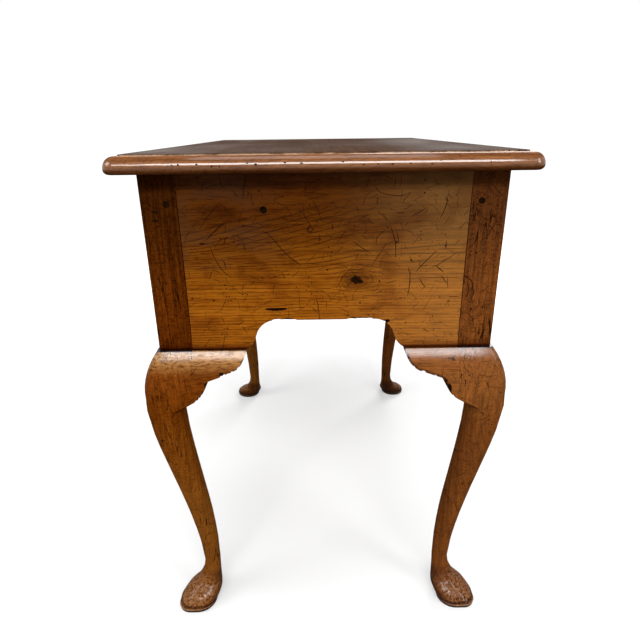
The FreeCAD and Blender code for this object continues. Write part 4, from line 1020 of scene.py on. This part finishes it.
# Lamps: place, width and height, and power in watts.
LAMPS = {
    "overhead": ((0.1, 0.0, 2.6), (1.2, 1.2), 45.0),
    "window": ((1.15, 1.3, 1.35), (0.5, 0.9), 12.0),
    "key": ((2.15, 0.0, 2.05), (2.2, 0.5), 68.0),
    "front": ((0.7, -1.9, 1.9), (1.2, 0.9), 26.0),
    "rear": ((-1.9, 0.9, 1.9), (1.4, 1.0), 45.0),
}
# The photograph's camera, as fitted to it. Its focal length and the middle of the lens are in pixels.
CAMERA_PLACE = Vector((0.98804, -0.01354, 0.74613))
CAMERA_RIGHT = Vector((0.01099551, 0.99987741, -0.01114769))
CAMERA_UP = Vector((-0.35787923, 0.01434495, 0.93365769))
FOCAL_LENGTH = 501.53
LENS_MIDDLE = (318.09, 320.26)
PHOTO_PIXELS = 640


def seen_directly(tree):
    """1 for camera, glossy and transmission rays."""
    path = tree.nodes.new("ShaderNodeLightPath")
    found = path.outputs["Is Camera Ray"]
    for name in ("Is Glossy Ray", "Is Transmission Ray"):
        either = tree.nodes.new("ShaderNodeMath")
        either.operation = "MAXIMUM"
        tree.links.new(found, either.inputs[0])
        tree.links.new(path.outputs[name], either.inputs[1])
        found = either.outputs[0]
    return found


def make_world():
    world = bpy.data.worlds.new("studio")
    bpy.context.scene.world = world
    world.use_nodes = True
    tree = world.node_tree
    background = tree.nodes["Background"]
    background.inputs["Color"].default_value = (*WHITE, 1.0)
    strength = tree.nodes.new("ShaderNodeMapRange")
    strength.inputs["To Min"].default_value = WORLD_LIGHT
    strength.inputs["To Max"].default_value = 1.0
    tree.links.new(seen_directly(tree), strength.inputs["Value"])
    tree.links.new(strength.outputs[0], background.inputs["Strength"])


def make_floor():
    """A pale floor that shines by itself where it is seen, more so farther off, until it is white."""
    mesh = bpy.data.meshes.new("floor")
    corners = [(x * FLOOR_HALF, y * FLOOR_HALF, 0) for x, y in ((-1, -1), (1, -1), (1, 1), (-1, 1))]
    mesh.from_pydata(corners, [], [(0, 1, 2, 3)])
    floor = link("floor", mesh)
    graph = Graph("floor_paint")
    place = graph.place()
    shade = graph.noise(graph.scaled(place, 3.0), 3.0)
    graph.put(graph.shader.inputs["Base Color"], graph.mix(shade, (0.52, 0.52, 0.52), (0.5, 0.5, 0.5)))
    graph.shader.inputs["Roughness"].default_value = 0.9
    graph.shader.inputs["Specular IOR Level"].default_value = 0.1
    graph.shader.inputs["Emission Color"].default_value = (*WHITE, 1.0)
    far = graph.step(graph.vector("LENGTH", place, output="Value"), 0.55, 1.7)
    lift = graph.sum(0.34, graph.product(far, 0.66))
    graph.put(graph.shader.inputs["Emission Strength"], graph.product(lift, seen_directly(graph.tree)))
    mesh.materials.append(graph.material)


def make_lamps():
    for name, (place, size, power) in LAMPS.items():
        data = bpy.data.lights.new(name, "AREA")
        data.shape = "RECTANGLE"
        data.size, data.size_y = size
        data.energy = power
        lamp = link(name, data)
        lamp.location = place
        lamp.rotation_euler = (Vector(CASE_MIDDLE) - Vector(place)).to_track_quat("-Z", "Y").to_euler()


def make_camera():
    data = bpy.data.cameras.new("camera")
    data.sensor_width = 36.0
    data.lens = FOCAL_LENGTH / PHOTO_PIXELS * data.sensor_width
    data.shift_x = (PHOTO_PIXELS / 2 - LENS_MIDDLE[0]) / PHOTO_PIXELS
    data.shift_y = (LENS_MIDDLE[1] - PHOTO_PIXELS / 2) / PHOTO_PIXELS
    camera = link("camera", data)
    turn = Matrix((CAMERA_RIGHT, CAMERA_UP, CAMERA_RIGHT.cross(CAMERA_UP))).transposed()
    camera.matrix_world = Matrix.Translation(CAMERA_PLACE) @ turn.to_4x4()
    bpy.context.scene.camera = camera


make_floor()
make_world()
make_lamps()
make_camera()
bpy.context.scene.view_settings.view_transform = "Standard"
